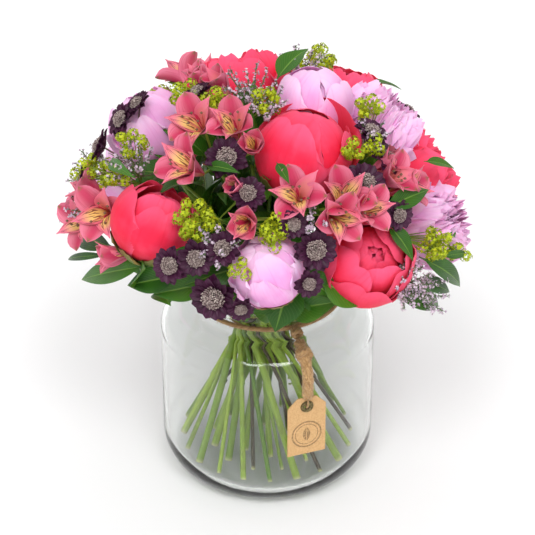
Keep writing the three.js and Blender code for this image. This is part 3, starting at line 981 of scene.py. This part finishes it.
def add_set_leaves(bundle, rng, places):
    """Leaves that each have their own place. A place is the azimuth, tilt and share of the way out of
    the base and of the tip, and the width. The midrib's bend is a third of a right angle or more."""
    places = np.array(places, float)
    base = on_dome(places[:, 0], places[:, 1], places[:, 2, None])
    tip = on_dome(places[:, 3], places[:, 4], places[:, 5, None])
    many = len(places)
    chord = tip - base
    face = unit(unit(base + tip - 2 * DOME_MIDDLE) + [0, -0.15, 0.5] + rng.uniform(-0.2, 0.2, (many, 3)))
    bend = rng.uniform(0.5, 0.9, many)
    square = unit(face - (face * unit(chord)).sum(1, keepdims=True) * unit(chord))
    heading = unit(unit(chord) + 0.45 * bend[:, None] * square)
    length = 1.07 * np.linalg.norm(chord, axis=1)
    sheets = leaf_sheets(
        base, heading, square, length, places[:, 6], bend, rng.uniform(-0.12, 0.12, many), 19, 11
    )
    add_sheets(bundle, sheets, LEAF_THICKNESS, rng.uniform(0, 1, many))


def side_shoots(rng, path, shares, spread):
    """Points on a stem, at shares of its length, and directions that lean away from it and rise."""
    spot = (np.asarray(shares) * (len(path) - 1)).astype(int)
    heading = unit(np.gradient(path, axis=0))[spot]
    away = unit(np.cross(heading, rng.normal(size=(len(spot), 3))))
    away[:, 2] = np.abs(away[:, 2])
    return path[spot], unit(heading + spread * away)


# %% Leaves on the peony stems
for number, name in enumerate(PEONIES):
    rng = np.random.default_rng(500 + number)
    path = stem_paths[name]
    greenery = Bundle()
    base, heading = side_shoots(rng, path, rng.uniform(0.6, 0.92, 10), 1.0)
    add_leaves(greenery, rng, base, heading, (44, 62), (22, 31))
    greenery.make(name + "_leaves", [LEAF], "leaf")


# %% Foliage sprigs
# The sprigs reach out from the tie below the flowers. Each carries leaves in pairs, and one at its tip.
# On the front sprigs these are short and rise, so that none hangs in front of the jar.
FOLIAGE = [name for name in sorted(NODES) if name.startswith("foliage")]


def sprig_tip(node):
    """The point of a sprig's solid that is furthest from the bouquet's upright axis."""
    points = node_points(node)
    return points[np.argmax(np.hypot(points[:, 0], points[:, 1]))]


# Leaves that stand out of the bouquet: azimuth, tilt and share of the way out of the base, the same of
# the tip, and the width.
SET_LEAVES = {
    "foliage_1": [
        (279, 79, 0.66, 273, 101, 0.74, 36), (282, 74, 0.74, 291, 83, 0.80, 24),
        (288, 78, 0.78, 304, 89, 0.84, 31), (284, 88, 0.66, 291, 97, 0.72, 11),
        (256, 77, 0.78, 268, 86, 0.82, 18), (262, 84, 0.66, 262, 98, 0.72, 20),
        (313, 57, 0.94, 331, 59, 1.00, 18), (274, 36, 0.98, 278, 43, 1.02, 9),
    ],
    "foliage_2": [
        (227, 78, 0.84, 196, 100, 0.95, 20), (213, 80, 0.9, 191, 95, 1.0, 7),
        (238, 79, 0.78, 220, 89, 0.86, 23), (190, 57, 0.92, 217, 51, 1.0, 11),
        (241, 39, 0.94, 258, 40, 1.0, 11), (204, 84, 0.8, 176, 96, 0.96, 20),
        (262, 70, 0.76, 242, 80, 0.84, 22), (268, 74, 0.70, 250, 86, 0.74, 24),
        (256, 66, 0.80, 232, 74, 0.88, 20), (250, 80, 0.74, 230, 89, 0.82, 24),
        (258, 78, 0.76, 244, 84, 0.82, 20),
    ],
    "foliage_3": [
        (311, 86, 0.86, 334, 104, 0.95, 22), (324, 88, 0.86, 340, 102, 0.96, 14),
        (324, 79, 0.9, 342, 100, 1.0, 18), (332, 83, 0.94, 344, 89, 1.0, 8),
        (314, 62, 0.9, 316, 75, 0.97, 17), (349, 56, 0.92, 354, 64, 1.0, 11),
        (334, 84, 0.84, 356, 92, 0.98, 20),
    ],
    "foliage_4": [
        (70, 8, 0.86, 56, 20, 1.0, 22), (36, 42, 0.92, 30, 50, 0.99, 13),
        (20, 78, 0.84, 36, 94, 0.97, 20), (60, 80, 0.84, 76, 96, 0.96, 22),
        (58, 54, 0.92, 70, 62, 1.0, 16),
    ],
    "foliage_5": [
        (120, 80, 0.84, 104, 96, 0.96, 22), (150, 84, 0.84, 164, 98, 0.96, 20),
        (128, 54, 0.9, 120, 66, 1.0, 18), (170, 70, 0.9, 166, 82, 1.0, 15),
        (100, 52, 0.9, 92, 60, 1.0, 14),
    ],
}


def inner_places(rng, outward, many=16):
    """Places for leaves deep between the flowers, on a sprig's own side of the bouquet."""
    azimuth = math.degrees(math.atan2(outward[1], outward[0])) + rng.uniform(-42, 42, many)
    tilt = rng.uniform(12, 78, many)
    tip = azimuth + rng.uniform(-14, 14, many)
    columns = [azimuth, tilt, 0 * tilt + 0.5, tip, tilt + rng.uniform(-8, 12, many), 0 * tilt + 0.8]
    return np.stack([*columns, rng.uniform(22, 32, many)], -1).tolist()


for number, name in enumerate(FOLIAGE):
    rng = np.random.default_rng(700 + number)
    tip = sprig_tip(name)
    outward = unit(tip * [1, 1, 0])
    fork = 0.5 * outward * np.linalg.norm(tip[:2]) + [0, 0, tip[2] - 18]
    axis = unit(tip - fork)
    path = make_stem(name, name, fork, axis, rng.uniform(0, 1), GREEN_STEM)
    sideways = np.cross([0, 0, 1], outward)
    turns = np.radians(np.array([0, 32, -32, 62, -62, 16, -20]))
    heading = np.cos(turns)[:, None] * outward + np.sin(turns)[:, None] * sideways
    in_front = outward[1] < -0.2
    rise = (0.4, 0.8) if in_front else (-0.1, 0.35)
    heading = unit(heading + [0, 0, 1] * rng.uniform(*rise, (7, 1)))
    base = path[[-1, -2, -2, -4, -4, -3, -3]]
    reach = np.linalg.norm((tip - fork)[:2]) * (0.66 if in_front else 1.0)
    leaves = Bundle()
    add_leaves(leaves, rng, base, heading, (0.8 * reach, reach), (22, 30), (0.15, 0.6))
    add_set_leaves(leaves, rng, SET_LEAVES[name] + inner_places(rng, outward))
    leaves.make(name + "_leaves", [LEAF], "leaf", [name])
print(len(FOLIAGE), "sprigs")


# %% [markdown]
# ## Alstroemeria
#
# A stem of alstroemeria ends in a bunch of open trumpets and closed buds. A trumpet has three broad
# outer petals with a green tip and three narrow inner ones, two of them yellow with dark dashes. Every
# petal is a strip whose middle line leans out more and more as it goes, so the strip is a running sum
# of small steps at a growing angle. Its edges curl in to make a channel.

# %% Trumpet petals
def trumpet_petals(rng, turns, length, width, open_angle, pointed, rows=15, columns=9, first=6):
    """Strips round local +Z, one for each turn in degrees, in millimetres.

    The lean from the axis grows from the first angle to open_angle. The half-width is a sine of the
    share along, pushed towards the tip for a broad petal.
    """
    many = len(turns)
    along = np.linspace(0, 1, rows)[None, :]
    across = np.linspace(-1, 1, columns)[None, None, :]
    phi = np.radians(np.asarray(turns) + rng.uniform(-5, 5, many))
    lean = np.radians(first + (open_angle + rng.uniform(-8, 8, many)[:, None] - first) * along**1.15)
    step = length / (rows - 1)
    out = 1.2 + np.cumsum(np.sin(lean), 1) * step
    up = np.cumsum(np.cos(lean), 1) * step - step
    push, blunt, tip = (1.15, 0.75, 5) if pointed else (1.75, 0.55, 30)
    half = 0.5 * width * (0.13 + 0.87 * np.sin(np.pi * along**push) ** blunt) * (1 - along**tip)
    half = np.broadcast_to(np.maximum(half, 0.25), (many, rows))
    outward = np.stack([np.cos(phi), np.sin(phi), 0 * phi], -1)[:, None, None]
    sideways = np.stack([-np.sin(phi), np.cos(phi), 0 * phi], -1)[:, None, None]
    upright = np.array([0, 0, 1.0])
    inward = np.sin(lean)[..., None, None] * upright - np.cos(lean)[..., None, None] * outward
    curl = (0.5 * half[..., None] * across**2)[..., None]
    ripple = rng.uniform(-1, 1, (many, 1, 1)) * np.sin(along * 11)[..., None] * across * 0.7
    return (
        out[..., None, None] * outward
        + up[..., None, None] * upright
        + (half[..., None] * across)[..., None] * sideways
        + (curl + ripple[..., None]) * inward
    )


# %% Alstroemeria materials
def outer_petal_material():
    """Dusty coral pink, deeper along the middle, with a green thumb-mark at the tip."""
    n = Nodes("alstroemeria outer petal")
    across, along = n.across_along()
    from_middle = n.math("ABSOLUTE", n.math("SUBTRACT", across, 0.5))
    veins = n.noise(1.0, 2.0, 0.6, n.stretched(across, along, 22.0, 2.0))
    shade = n.mix(n.ramp(from_middle, 0.05, 0.45), colour(204, 54, 94), colour(234, 128, 156))
    shade = n.mix(n.math("MULTIPLY", n.ramp(veins, 0.5, 0.7), 0.45), shade, colour(190, 46, 84))
    tip = n.math("MULTIPLY", n.ramp(along, 0.88, 0.98), n.ramp(from_middle, 0.3, 0.1))
    shade = n.mix(n.math("MULTIPLY", tip, 0.8), shade, colour(92, 112, 52))
    shade = n.mix(n.math("MULTIPLY", n.tint(), 0.3), shade, colour(178, 40, 78))
    n.bump(veins, 0.0003, 0.4)
    return n.finish(shade, 0.55, Subsurface_Weight=0.08, Subsurface_Scale=0.3, Specular_IOR_Level=0.2)


def inner_petal_material():
    """Yellow from the throat to past the middle, coral pink at the tip, with dark dashes along it. The
    dashes are stretched noise, and the petals with a tint under a half are the plain lower ones."""
    n = Nodes("alstroemeria inner petal")
    across, along = n.across_along()
    from_middle = n.math("ABSOLUTE", n.math("SUBTRACT", across, 0.5))
    striped = n.math("GREATER_THAN", n.tint(), 0.5)
    yellow = n.math("MULTIPLY", n.ramp(along, 0.86, 0.5), n.ramp(from_middle, 0.45, 0.2))
    yellow = n.math("MULTIPLY", yellow, n.math("MAXIMUM", striped, 0.15))
    shade = n.mix(yellow, colour(234, 118, 144), colour(248, 222, 134))
    shade = n.mix(n.ramp(along, 0.3, 0.05), shade, colour(196, 130, 70))
    dashes = n.noise(1.0, 1.0, 0.4, n.stretched(across, along, 17.0, 4.0))
    where = n.math("MULTIPLY", n.ramp(along, 0.2, 0.36), n.ramp(along, 0.96, 0.86))
    dark = n.math("MULTIPLY", n.math("MULTIPLY", n.ramp(dashes, 0.57, 0.62), where), striped)
    shade = n.mix(n.math("MULTIPLY", dark, 0.85), shade, colour(112, 16, 40))
    return n.finish(shade, 0.55, Subsurface_Weight=0.08, Subsurface_Scale=0.3, Specular_IOR_Level=0.2)


def plain_material(name, main, other, roughness=0.6, scale=120.0):
    """Two shades in fine clouds, with each little piece's tint choosing between them."""
    n = Nodes(name)
    share = n.math("ADD", n.math("MULTIPLY", n.tint(), 0.6), n.math("MULTIPLY", n.noise(scale), 0.5))
    return n.finish(n.mix(share, main, other), roughness, Specular_IOR_Level=0.35)


OUTER_PETAL = outer_petal_material()
INNER_PETAL = inner_petal_material()
POLLEN = plain_material("dark pollen", colour(84, 62, 50), colour(134, 110, 84), 0.8)


# %% Build the alstroemeria
def make_spray_stem(name, depth, tint, material):
    """Makes a spray's stem, up to the fork where its stalks part, and gives the fork and the stem's path.

    The spray's solid touches the skin of the dome at its crown, the point that is furthest from the
    dome's middle. The fork is at a depth below the crown, on the line to the dome's middle.
    """
    points = node_points(name)
    points = points[points[:, 2] > JAR_HEIGHT + 10]
    crown = points[np.argmax(np.linalg.norm(points - DOME_MIDDLE, axis=1))]
    axis = unit(crown - DOME_MIDDLE)
    fork = crown - depth * axis
    return fork, make_stem(name, name, fork, axis, tint, material)


def splayed(axis, turns, tilts):
    """Directions that lean away from an axis by tilts, at turns about it, both in degrees."""
    local = direction(np.asarray(turns, float), np.asarray(tilts, float))
    return aim(local, np.zeros(3), axis)


def add_trumpet(bundle, rng, base, axis, roll, length, open_angle):
    """One open flower or, at a small open angle, a bud. Slot 0 is the outer petals, 1 the inner ones
    and 2 the stamens."""
    outer = trumpet_petals(rng, [90, 210, 330], length, 0.54 * length, open_angle, False)
    inner = trumpet_petals(rng, [38, 142, 270], 1.04 * length, 0.4 * length, 0.8 * open_angle, True)
    add_sheets(bundle, aim(outer, base, axis, roll), 0.5, rng.uniform(0, 1, 3), 0)
    add_sheets(bundle, aim(inner, base, axis, roll), 0.5, np.array([0.9, 0.9, 0.1]), 1)
    if open_angle < 40:
        return
    reach = rng.uniform(0.62, 0.8, 6) * length
    turns = np.arange(6) * 60 + rng.uniform(-20, 20, 6)
    tips = base + reach[:, None] * splayed(axis, turns, rng.uniform(8, 24, 6))
    add_stalks(bundle, base, tips, 0.45, 0.3, 3)
    add_beads(bundle, tips, 1.5, 0.5, 2)


# Each flower: azimuth and tilt of its mouth on the dome, azimuth and tilt that it faces, and how far it
# is open in degrees. Under 40 it is a bud.
TRUMPETS = {
    "alstroemeria_1": [
        (192, 80, 222, 74, 76), (206, 68, 250, 60, 70), (186, 70, 170, 60, 64), (214, 80, 196, 92, 40),
    ],
    "alstroemeria_2": [
        (222, 28, 240, 42, 74), (232, 41, 215, 50, 70), (246, 24, 250, 30, 62), (256, 44, 240, 52, 16),
        (262, 30, 262, 44, 28),
    ],
    "alstroemeria_3": [
        (281, 46, 262, 45, 76), (299, 49, 290, 40, 76), (294, 55, 290, 66, 64), (262, 55, 258, 66, 40),
        (306, 55, 318, 62, 60),
    ],
    "alstroemeria_4": [
        (323, 50, 330, 56, 58), (331, 57, 345, 66, 46), (327, 46, 336, 50, 26),
    ],
    "alstroemeria_5": [
        (170, 21, 174, 26, 20), (180, 15, 196, 30, 30), (160, 22, 160, 30, 24), (122, 56, 120, 62, 66),
        (112, 62, 110, 66, 58), (128, 68, 124, 76, 40),
    ],
    "alstroemeria_6": [
        (88, 72, 88, 76, 76), (100, 66, 102, 70, 70), (77, 66, 72, 68, 66), (90, 60, 90, 60, 22),
        (84, 80, 82, 90, 40),
    ],
}
TRUMPET_LENGTH = 41.0
FILAMENT = plain_material("petal filament", colour(212, 100, 110), colour(224, 150, 136))
for number, name in enumerate(TRUMPETS):
    rng = np.random.default_rng(900 + number)
    fork, path = make_spray_stem(name, depth=59, tint=0.3, material=GREEN_STEM)
    flowers = Bundle()
    starts = []
    for azimuth, tilt, facing, facing_tilt, opening in TRUMPETS[name]:
        length = TRUMPET_LENGTH * (0.66 + 0.34 * min(opening / 60, 1)) * rng.uniform(0.94, 1.05)
        facing = direction(facing, facing_tilt)
        # Low flowers sit a little deeper. A wide flower is shallow, so its base is nearer to its mouth.
        mouth = on_dome(azimuth, tilt, 0.96 if tilt > 65 else 0.99)
        start = mouth - (0.66 if opening > 50 else 0.85) * length * facing
        add_trumpet(flowers, rng, start, facing, rng.uniform(0, 6.3), length, opening)
        starts.append(start)
    add_stalks(flowers, fork, np.array(starts), 1.2, 0.4, 4)
    finishes = [OUTER_PETAL, INNER_PETAL, POLLEN, FILAMENT, GREEN_STEM]
    flowers.make(name + "_flowers", finishes, "alstroemeria_petal", [name])
    leaves = Bundle()
    base, heading = side_shoots(rng, path, rng.uniform(0.66, 0.97, 7), 0.9)
    add_leaves(leaves, rng, base, heading, (44, 58), (12, 17), (0.3, 1.3), 0.3)
    leaves.make(name + "_leaves", [LEAF], "leaf")
print(len(TRUMPETS), "alstroemeria sprays")


# %% [markdown]
# ## Astrantia
#
# The dark round heads are astrantia. A ring of stiff pointed bracts stands round a dome of tiny flowers
# on thin stalks, like pins in a cushion. The pins are spread by the golden angle, which is how a real
# flower packs its florets: each one is turned 137.5 degrees from the last.

# %% Astrantia heads
GOLDEN_ANGLE = 137.5077
PINS = 170
PIN_SPREAD = 0.56  # one less the cosine of the widest pin's tilt


def add_astrantia_head(bundle, rng, base, axis, size):
    """One head on its base point. Slot 0 is the bracts, 1 the pins' stalks and 2 their pale tips. A second
    ring of bracts, half as many and flatter, lies under the first."""
    count = int(rng.integers(13, 16))
    turns = np.arange(count) * 360 / count
    bracts = trumpet_petals(rng, turns, 0.8 * size, 0.38 * size, 76, False, 9, 5, 48)
    under = trumpet_petals(rng, turns[::2] + 13, 0.8 * size, 0.38 * size, 88, False, 9, 5, 62)
    add_sheets(bundle, aim(bracts, base, axis), 0.4, rng.uniform(0, 1, count), 0)
    add_sheets(bundle, aim(under, base, axis), 0.4, rng.uniform(0, 1, len(turns[::2])), 0)
    order = np.arange(PINS)
    tilts = np.degrees(np.arccos(1 - PIN_SPREAD * (order + 0.5) / PINS))
    heading = splayed(axis, order * GOLDEN_ANGLE, tilts)
    length = size * rng.uniform(0.4, 0.5, PINS)[:, None]
    cushion = base + 0.08 * size * axis
    start = cushion + 0.1 * size * heading
    tips = cushion + length * heading
    add_stalks(bundle, start, tips, 0.45, 0.4, 1)
    add_beads(bundle, tips, 0.042 * size * rng.uniform(0.6, 1.15, PINS), rng.uniform(0, 1, PINS), 2)


def bract_material():
    """Near-black burgundy with a plum sheen, paler and greener towards the base, with thin veins."""
    n = Nodes("astrantia bract")
    across, along = n.across_along()
    veins = n.noise(1.0, 2.0, 0.6, n.stretched(across, along, 16.0, 2.0))
    shade = n.mix(n.ramp(along, 0.0, 0.45), colour(92, 58, 68), colour(66, 20, 52))
    shade = n.mix(n.math("MULTIPLY", n.ramp(veins, 0.5, 0.7), 0.6), shade, colour(112, 58, 98))
    shade = n.mix(n.math("MULTIPLY", n.tint(), 0.5), shade, colour(30, 6, 22))
    return n.finish(shade, 0.5, Specular_IOR_Level=0.3)


BRACT = bract_material()
PIN_STALK = plain_material("astrantia pin", colour(126, 108, 98), colour(84, 58, 66))
PIN_TIP = plain_material("astrantia floret", colour(214, 200, 190), colour(110, 82, 88), 0.6)

# Each head: azimuth and tilt of its crown on the dome, and its radius.
BUTTONS = {
    "astrantia_1": [(240, 71, 16), (249, 67, 16), (254, 79, 21), (256, 62, 15), (263, 81, 11)],
    "astrantia_2": [(251, 35, 18), (263, 45, 15), (190, 21, 13)],
    "astrantia_3": [(285, 63, 18), (282, 73, 12), (279, 55, 12)],
    "astrantia_4": [(310, 47, 19), (333, 35, 15), (328, 44, 15), (316, 61, 13)],
    "astrantia_5": [(174, 49, 16), (176, 60, 16), (170, 42, 13), (182, 70, 14)],
    "astrantia_6": [(40, 74, 16), (52, 64, 16), (100, 62, 15), (34, 62, 13)],
}
for number, name in enumerate(BUTTONS):
    rng = np.random.default_rng(1100 + number)
    fork = make_spray_stem(name, depth=44, tint=0.5, material=PURPLE_STEM)[0]
    heads = Bundle()
    for azimuth, tilt, size in BUTTONS[name]:
        crown = on_dome(azimuth, tilt, 1.0)
        facing = unit(unit(crown - DOME_MIDDLE) + rng.uniform(-0.3, 0.3, 3) + [0, -0.15, 0.1])
        base = crown - 0.8 * size * facing
        add_stalks(heads, fork, base[None], 0.9, 0.4, 1)
        add_astrantia_head(heads, rng, base, facing, 1.12 * size)
    heads.make(name + "_heads", [BRACT, PIN_STALK, PIN_TIP], "astrantia_bract", [name])
print(len(BUTTONS), "astrantia sprays")


# %% [markdown]
# ## Lady's mantle and sea lavender
#
# These two fill the gaps with clouds of flowers only a few millimetres across. Each tiny flower is a
# star of a few faces. What the eye reads is how they bunch: lady's mantle in small round puffs on forked
# stalks, and sea lavender in rows along stiff twigs.

# %% Lady's mantle
LIME = plain_material("lime floret", colour(204, 214, 34), colour(132, 156, 18), 0.6)
LIME_STALK = plain_material("lime stalk", colour(150, 176, 60), colour(110, 140, 50), 0.6)


def cloud_points(rng, many):
    """Directions spread evenly over a ball by the golden angle, a little shaken."""
    order = np.arange(many) + 0.5
    points = direction(order * GOLDEN_ANGLE, np.degrees(np.arccos(1 - 2 * order / many)))
    return unit(points + rng.uniform(-0.25, 0.25, points.shape))


def add_puffs(bundle, rng, fork, middle, size, puffs):
    """Round puffs of stars inside a ball, each on its own stalk from the fork."""
    spots = middle + size * 0.8 * cloud_points(rng, puffs) * rng.uniform(0.5, 1.0, (puffs, 1))
    add_stalks(bundle, fork, spots, 0.5, 0.5, 1)
    for spot in spots:
        many = int(rng.integers(26, 34))
        outward = cloud_points(rng, many)
        radius = rng.uniform(4.2, 6.0)
        centres = spot + radius * outward * rng.uniform(0.75, 1.05, (many, 1))
        add_stars(bundle, centres, outward, rng.uniform(1.7, 2.5, many), 4, tint=rng.uniform(0, 1, many))


# Each cloud: azimuth and tilt of its middle on the dome, its radius, and how many puffs it has.
CLOUDS = {
    "alchemilla_1": [(244, 56, 23, 16), (272, 57, 16, 8), (262, 68, 9, 3)],
    "alchemilla_2": [(182, 66, 20, 12), (197, 46, 16, 8), (205, 56, 12, 4)],
    "alchemilla_3": [(187, 24, 17, 9), (268, 12, 15, 7), (215, 18, 12, 5)],
    "alchemilla_4": [(349, 31, 13, 7), (324, 40, 10, 4), (312, 37, 9, 4), (60, 35, 17, 9)],
    "alchemilla_5": [(331, 78, 17, 11), (342, 88, 11, 4)],
}
MEAN_DOME_RADIUS = 165.0
# One more cloud on each spray, on the far side: azimuth and tilt. A spray not named here has the last.
BACK_CLOUDS = {"alchemilla_3": (130, 64), "alchemilla_4": (75, 50), "alchemilla_5": (104, 60)}
BACK_CLOUD = (60, 64)
for number, name in enumerate(CLOUDS):
    rng = np.random.default_rng(1300 + number)
    fork = make_spray_stem(name, depth=51, tint=0.2, material=GREEN_STEM)[0]
    puffs = Bundle()
    for azimuth, tilt, radius, many in CLOUDS[name]:
        spot = on_dome(azimuth, tilt, 1 - 0.6 * radius / MEAN_DOME_RADIUS)
        add_puffs(puffs, rng, fork, spot, radius, many)
    back = on_dome(*BACK_CLOUDS.get(name, BACK_CLOUD), 0.93)
    add_puffs(puffs, rng, fork, back, size=15, puffs=7)
    puffs.make(name + "_puffs", [LIME, LIME_STALK], "lime_floret", [name])
print(len(CLOUDS), "lady's mantle sprays")


# %% Sea lavender
LILAC = plain_material("lilac floret", colour(232, 218, 228), colour(170, 140, 168), 0.7)
TWIG = plain_material("grey-green twig", colour(112, 128, 92), colour(80, 96, 64), 0.7)


def add_twigs(bundle, rng, fork, axis, reach, twigs):
    """Twigs fan out from the fork. Small stars stand along the outer two thirds of each."""
    turns = np.arange(twigs) * GOLDEN_ANGLE
    heading = splayed(axis, turns, 6 + 42 * np.sqrt((np.arange(twigs) + 0.5) / twigs))
    tips = fork + reach * rng.uniform(0.8, 1.0, (twigs, 1)) * heading
    add_stalks(bundle, fork, tips, 0.55, 0.5, 1)
    many = 22
    share = np.linspace(0.38, 1.0, many)[None, :, None]
    spots = fork + share * (tips - fork)[:, None]
    leaning = unit(heading[:, None] + 0.9 * rng.normal(size=(twigs, many, 3)))
    centres = (spots + 2.6 * leaning).reshape(-1, 3)
    add_stalks(bundle, spots.reshape(-1, 3), centres, 0.3, 0.5, 1)
    outward = leaning.reshape(-1, 3)
    radius = rng.uniform(1.2, 1.9, len(centres))
    add_stars(bundle, centres, outward, radius, 5, 0.5, 0.5, rng.uniform(0, 1, len(centres)))


# Each tuft: azimuth and tilt of its top on the dome, its reach, and how many twigs it has.
TUFTS = {
    "limonium_1": [(190, 5, 40, 10), (268, 13, 30, 8), (330, 36, 26, 5), (60, 20, 34, 6)],
    "limonium_2": [(203, 48, 36, 9), (171, 69, 34, 8), (192, 72, 30, 6), (178, 84, 26, 5)],
    "limonium_3": [(316, 82, 34, 18), (254, 60, 28, 7), (325, 90, 32, 7), (286, 53, 18, 4)],
}
for number, name in enumerate(TUFTS):
    rng = np.random.default_rng(1500 + number)
    fork = make_spray_stem(name, depth=52, tint=0.6, material=GREEN_STEM)[0]
    twigs = Bundle()
    for azimuth, tilt, reach, many in TUFTS[name]:
        top = on_dome(azimuth, tilt, 1.02)
        heading = unit(unit(top - DOME_MIDDLE) + [0, 0, 0.5])
        start = top - reach * heading
        add_stalks(twigs, fork, start[None], 0.8, 0.5, 1)
        add_twigs(twigs, rng, start, heading, reach, many)
    twigs.make(name + "_twigs", [LILAC, TWIG], "lilac_floret", [name])
print(len(TUFTS), "sea lavender sprays")


# %% [markdown]
# ## The glass jar
#
# Blown glass has no flat or sharp place, so the jar is one profile turned about its axis. The profile
# goes up the outside, over the rolled lip and down the inside as arcs, all from the sizes that the
# frame's coarse jar has. Real refraction needs both faces of the wall, and the profile gives both.

# %% Turn a profile
def arc(middle, radius, start, end, steps=9):
    """Points on an arc, from start to end in degrees."""
    angle = np.radians(np.linspace(start, end, steps))
    return np.stack([middle[0] + radius * np.cos(angle), middle[1] + radius * np.sin(angle)], -1)


def add_turned(bundle, profile, segments=128):
    """Turns (radius, height) points about the upright axis. The first and last are on the axis, where a
    fan of triangles closes the shape."""
    angle = np.linspace(0, 2 * np.pi, segments, endpoint=False)
    radius, height = profile[1:-1, 0][:, None], profile[1:-1, 1][:, None]
    rings = np.stack([radius * np.cos(angle), radius * np.sin(angle), height + 0 * angle], -1)
    points = np.concatenate([rings.reshape(-1, 3), [[0, 0, profile[0, 1]], [0, 0, profile[-1, 1]]]])
    grid = np.arange(rings.shape[0] * segments).reshape(-1, segments)
    grid = np.concatenate([grid, grid[:, :1]], 1)
    low, high = grid[0], grid[-1]
    start, end = len(points) - 2, len(points) - 1
    fans = np.concatenate([
        np.stack([np.full(segments, start), low[1:], low[:-1]], -1),
        np.stack([np.full(segments, end), high[:-1], high[1:]], -1),
    ])
    bundle.add(points, [quads(grid), fans], np.full((len(points), 2), 0.5))


# %% The jar
# Outside first, from the middle of the foot up to the lip, then back down the inside to the base. The
# lip is most of a circle, and stops where it meets the two faces of the neck.
lip_middle = (NECK_RADIUS - WALL / 2 + 0.75, JAR_HEIGHT - LIP)
profile = np.concatenate([
    [[0, 0], [30, 0]],
    arc((JAR_RADIUS - FOOT_CORNER, FOOT_CORNER), FOOT_CORNER, -90, 0, 17),
    arc((JAR_RADIUS - SHOULDER_CORNER, SHOULDER_FOOT), SHOULDER_CORNER, 0, 90, 17),
    arc((NECK_RADIUS + NECK_FILLET, SHOULDER_TOP + NECK_FILLET), NECK_FILLET, -90, -180),
    arc(lip_middle, LIP, -75, 231, 17),
    arc((NECK_RADIUS + NECK_FILLET, SHOULDER_TOP + NECK_FILLET), NECK_FILLET + WALL, -180, -90),
    arc((JAR_RADIUS - SHOULDER_CORNER, SHOULDER_FOOT), SHOULDER_CORNER - WALL, 90, 0, 17),
    arc((JAR_RADIUS - FOOT_CORNER, BASE + FOOT_CORNER - WALL), FOOT_CORNER - WALL, 0, -90, 17),
    [[30, BASE], [0, BASE]],
])


def glass_material():
    """Clear glass with the faint green of recycled bottles. A slow swell in the bump gives the walls the
    slight waviness of blown glass."""
    n = Nodes("recycled clear glass")
    n.bump(n.noise(14.0, 1.0), 0.004, 0.12)
    return n.finish((0.972, 0.99, 0.98, 1.0), 0.0, Transmission_Weight=1.0, IOR=1.36)


GLASS = glass_material()
jar = Bundle()
add_turned(jar, profile)
jar.make("clear_jar", [GLASS], "clear_glass", ["vase"])


# %% [markdown]
# ## The floor and the light
#
# A plain pale floor in an even white room, as in a catalogue studio. Two soft round patches of the room
# are much brighter, high in front and a little to each side, and throw pale shadows behind the jar. A
# lamp's light is held back by glass, but the room's light passes through it, so the inside of the jar
# stays nearly as bright as the floor round it. The floor lies a hair below the jar's foot.

# %% Floor
FLOOR_SIZE = 12.0
FLOOR_HEIGHT = -0.0003
floor_mesh = bpy.data.meshes.new("studio floor")
half_floor = FLOOR_SIZE / 2
floor_mesh.from_pydata(
    [(x * half_floor, y * half_floor, FLOOR_HEIGHT) for x, y in ((-1, -1), (1, -1), (1, 1), (-1, 1))],
    [],
    [(0, 1, 2, 3)],
)
floor = bpy.data.objects.new("studio floor", floor_mesh)
bpy.context.scene.collection.objects.link(floor)
floor_paint = Nodes("pale floor")
floor_mesh.materials.append(floor_paint.finish((0.9, 0.9, 0.9, 1.0), 0.9))


# %% Lights
world = bpy.data.worlds.new("white room")
world.use_nodes = True
room = world.node_tree
heading = room.nodes.new("ShaderNodeTexCoord").outputs["Generated"]


def softbox(azimuth, tilt, brightness, inner=6, outer=12):
    """A round patch of the room that is brighter, with a soft edge from inner to outer degrees off its
    middle. Gives the socket that holds how bright it is in the direction being looked in."""
    facing = room.nodes.new("ShaderNodeVectorMath")
    facing.operation = "DOT_PRODUCT"
    facing.inputs[1].default_value = direction(azimuth, tilt)
    room.links.new(facing.inputs[0], heading)
    edge = room.nodes.new("ShaderNodeMapRange")
    edge.interpolation_type = "SMOOTHSTEP"
    edge.inputs["From Min"].default_value = math.cos(math.radians(outer))
    edge.inputs["From Max"].default_value = math.cos(math.radians(inner))
    edge.inputs["To Max"].default_value = brightness
    room.links.new(edge.inputs["Value"], facing.outputs["Value"])
    return edge.outputs["Result"]


SOFTBOX_TILT = 38
SOFTBOX_BRIGHTNESS = 11.0
ROOM_BRIGHTNESS = 0.8
both = room.nodes.new("ShaderNodeMath")
for socket, azimuth in zip(both.inputs, (-108, -72)):
    room.links.new(socket, softbox(azimuth, SOFTBOX_TILT, SOFTBOX_BRIGHTNESS))
total = room.nodes.new("ShaderNodeMath")
total.inputs[1].default_value = ROOM_BRIGHTNESS
room.links.new(total.inputs[0], both.outputs[0])
room.links.new(room.nodes["Background"].inputs["Strength"], total.outputs[0])
room.nodes["Background"].inputs["Color"].default_value = (1, 1, 1, 1)
bpy.context.scene.world = world
bpy.context.scene.view_settings.view_transform = "Standard"
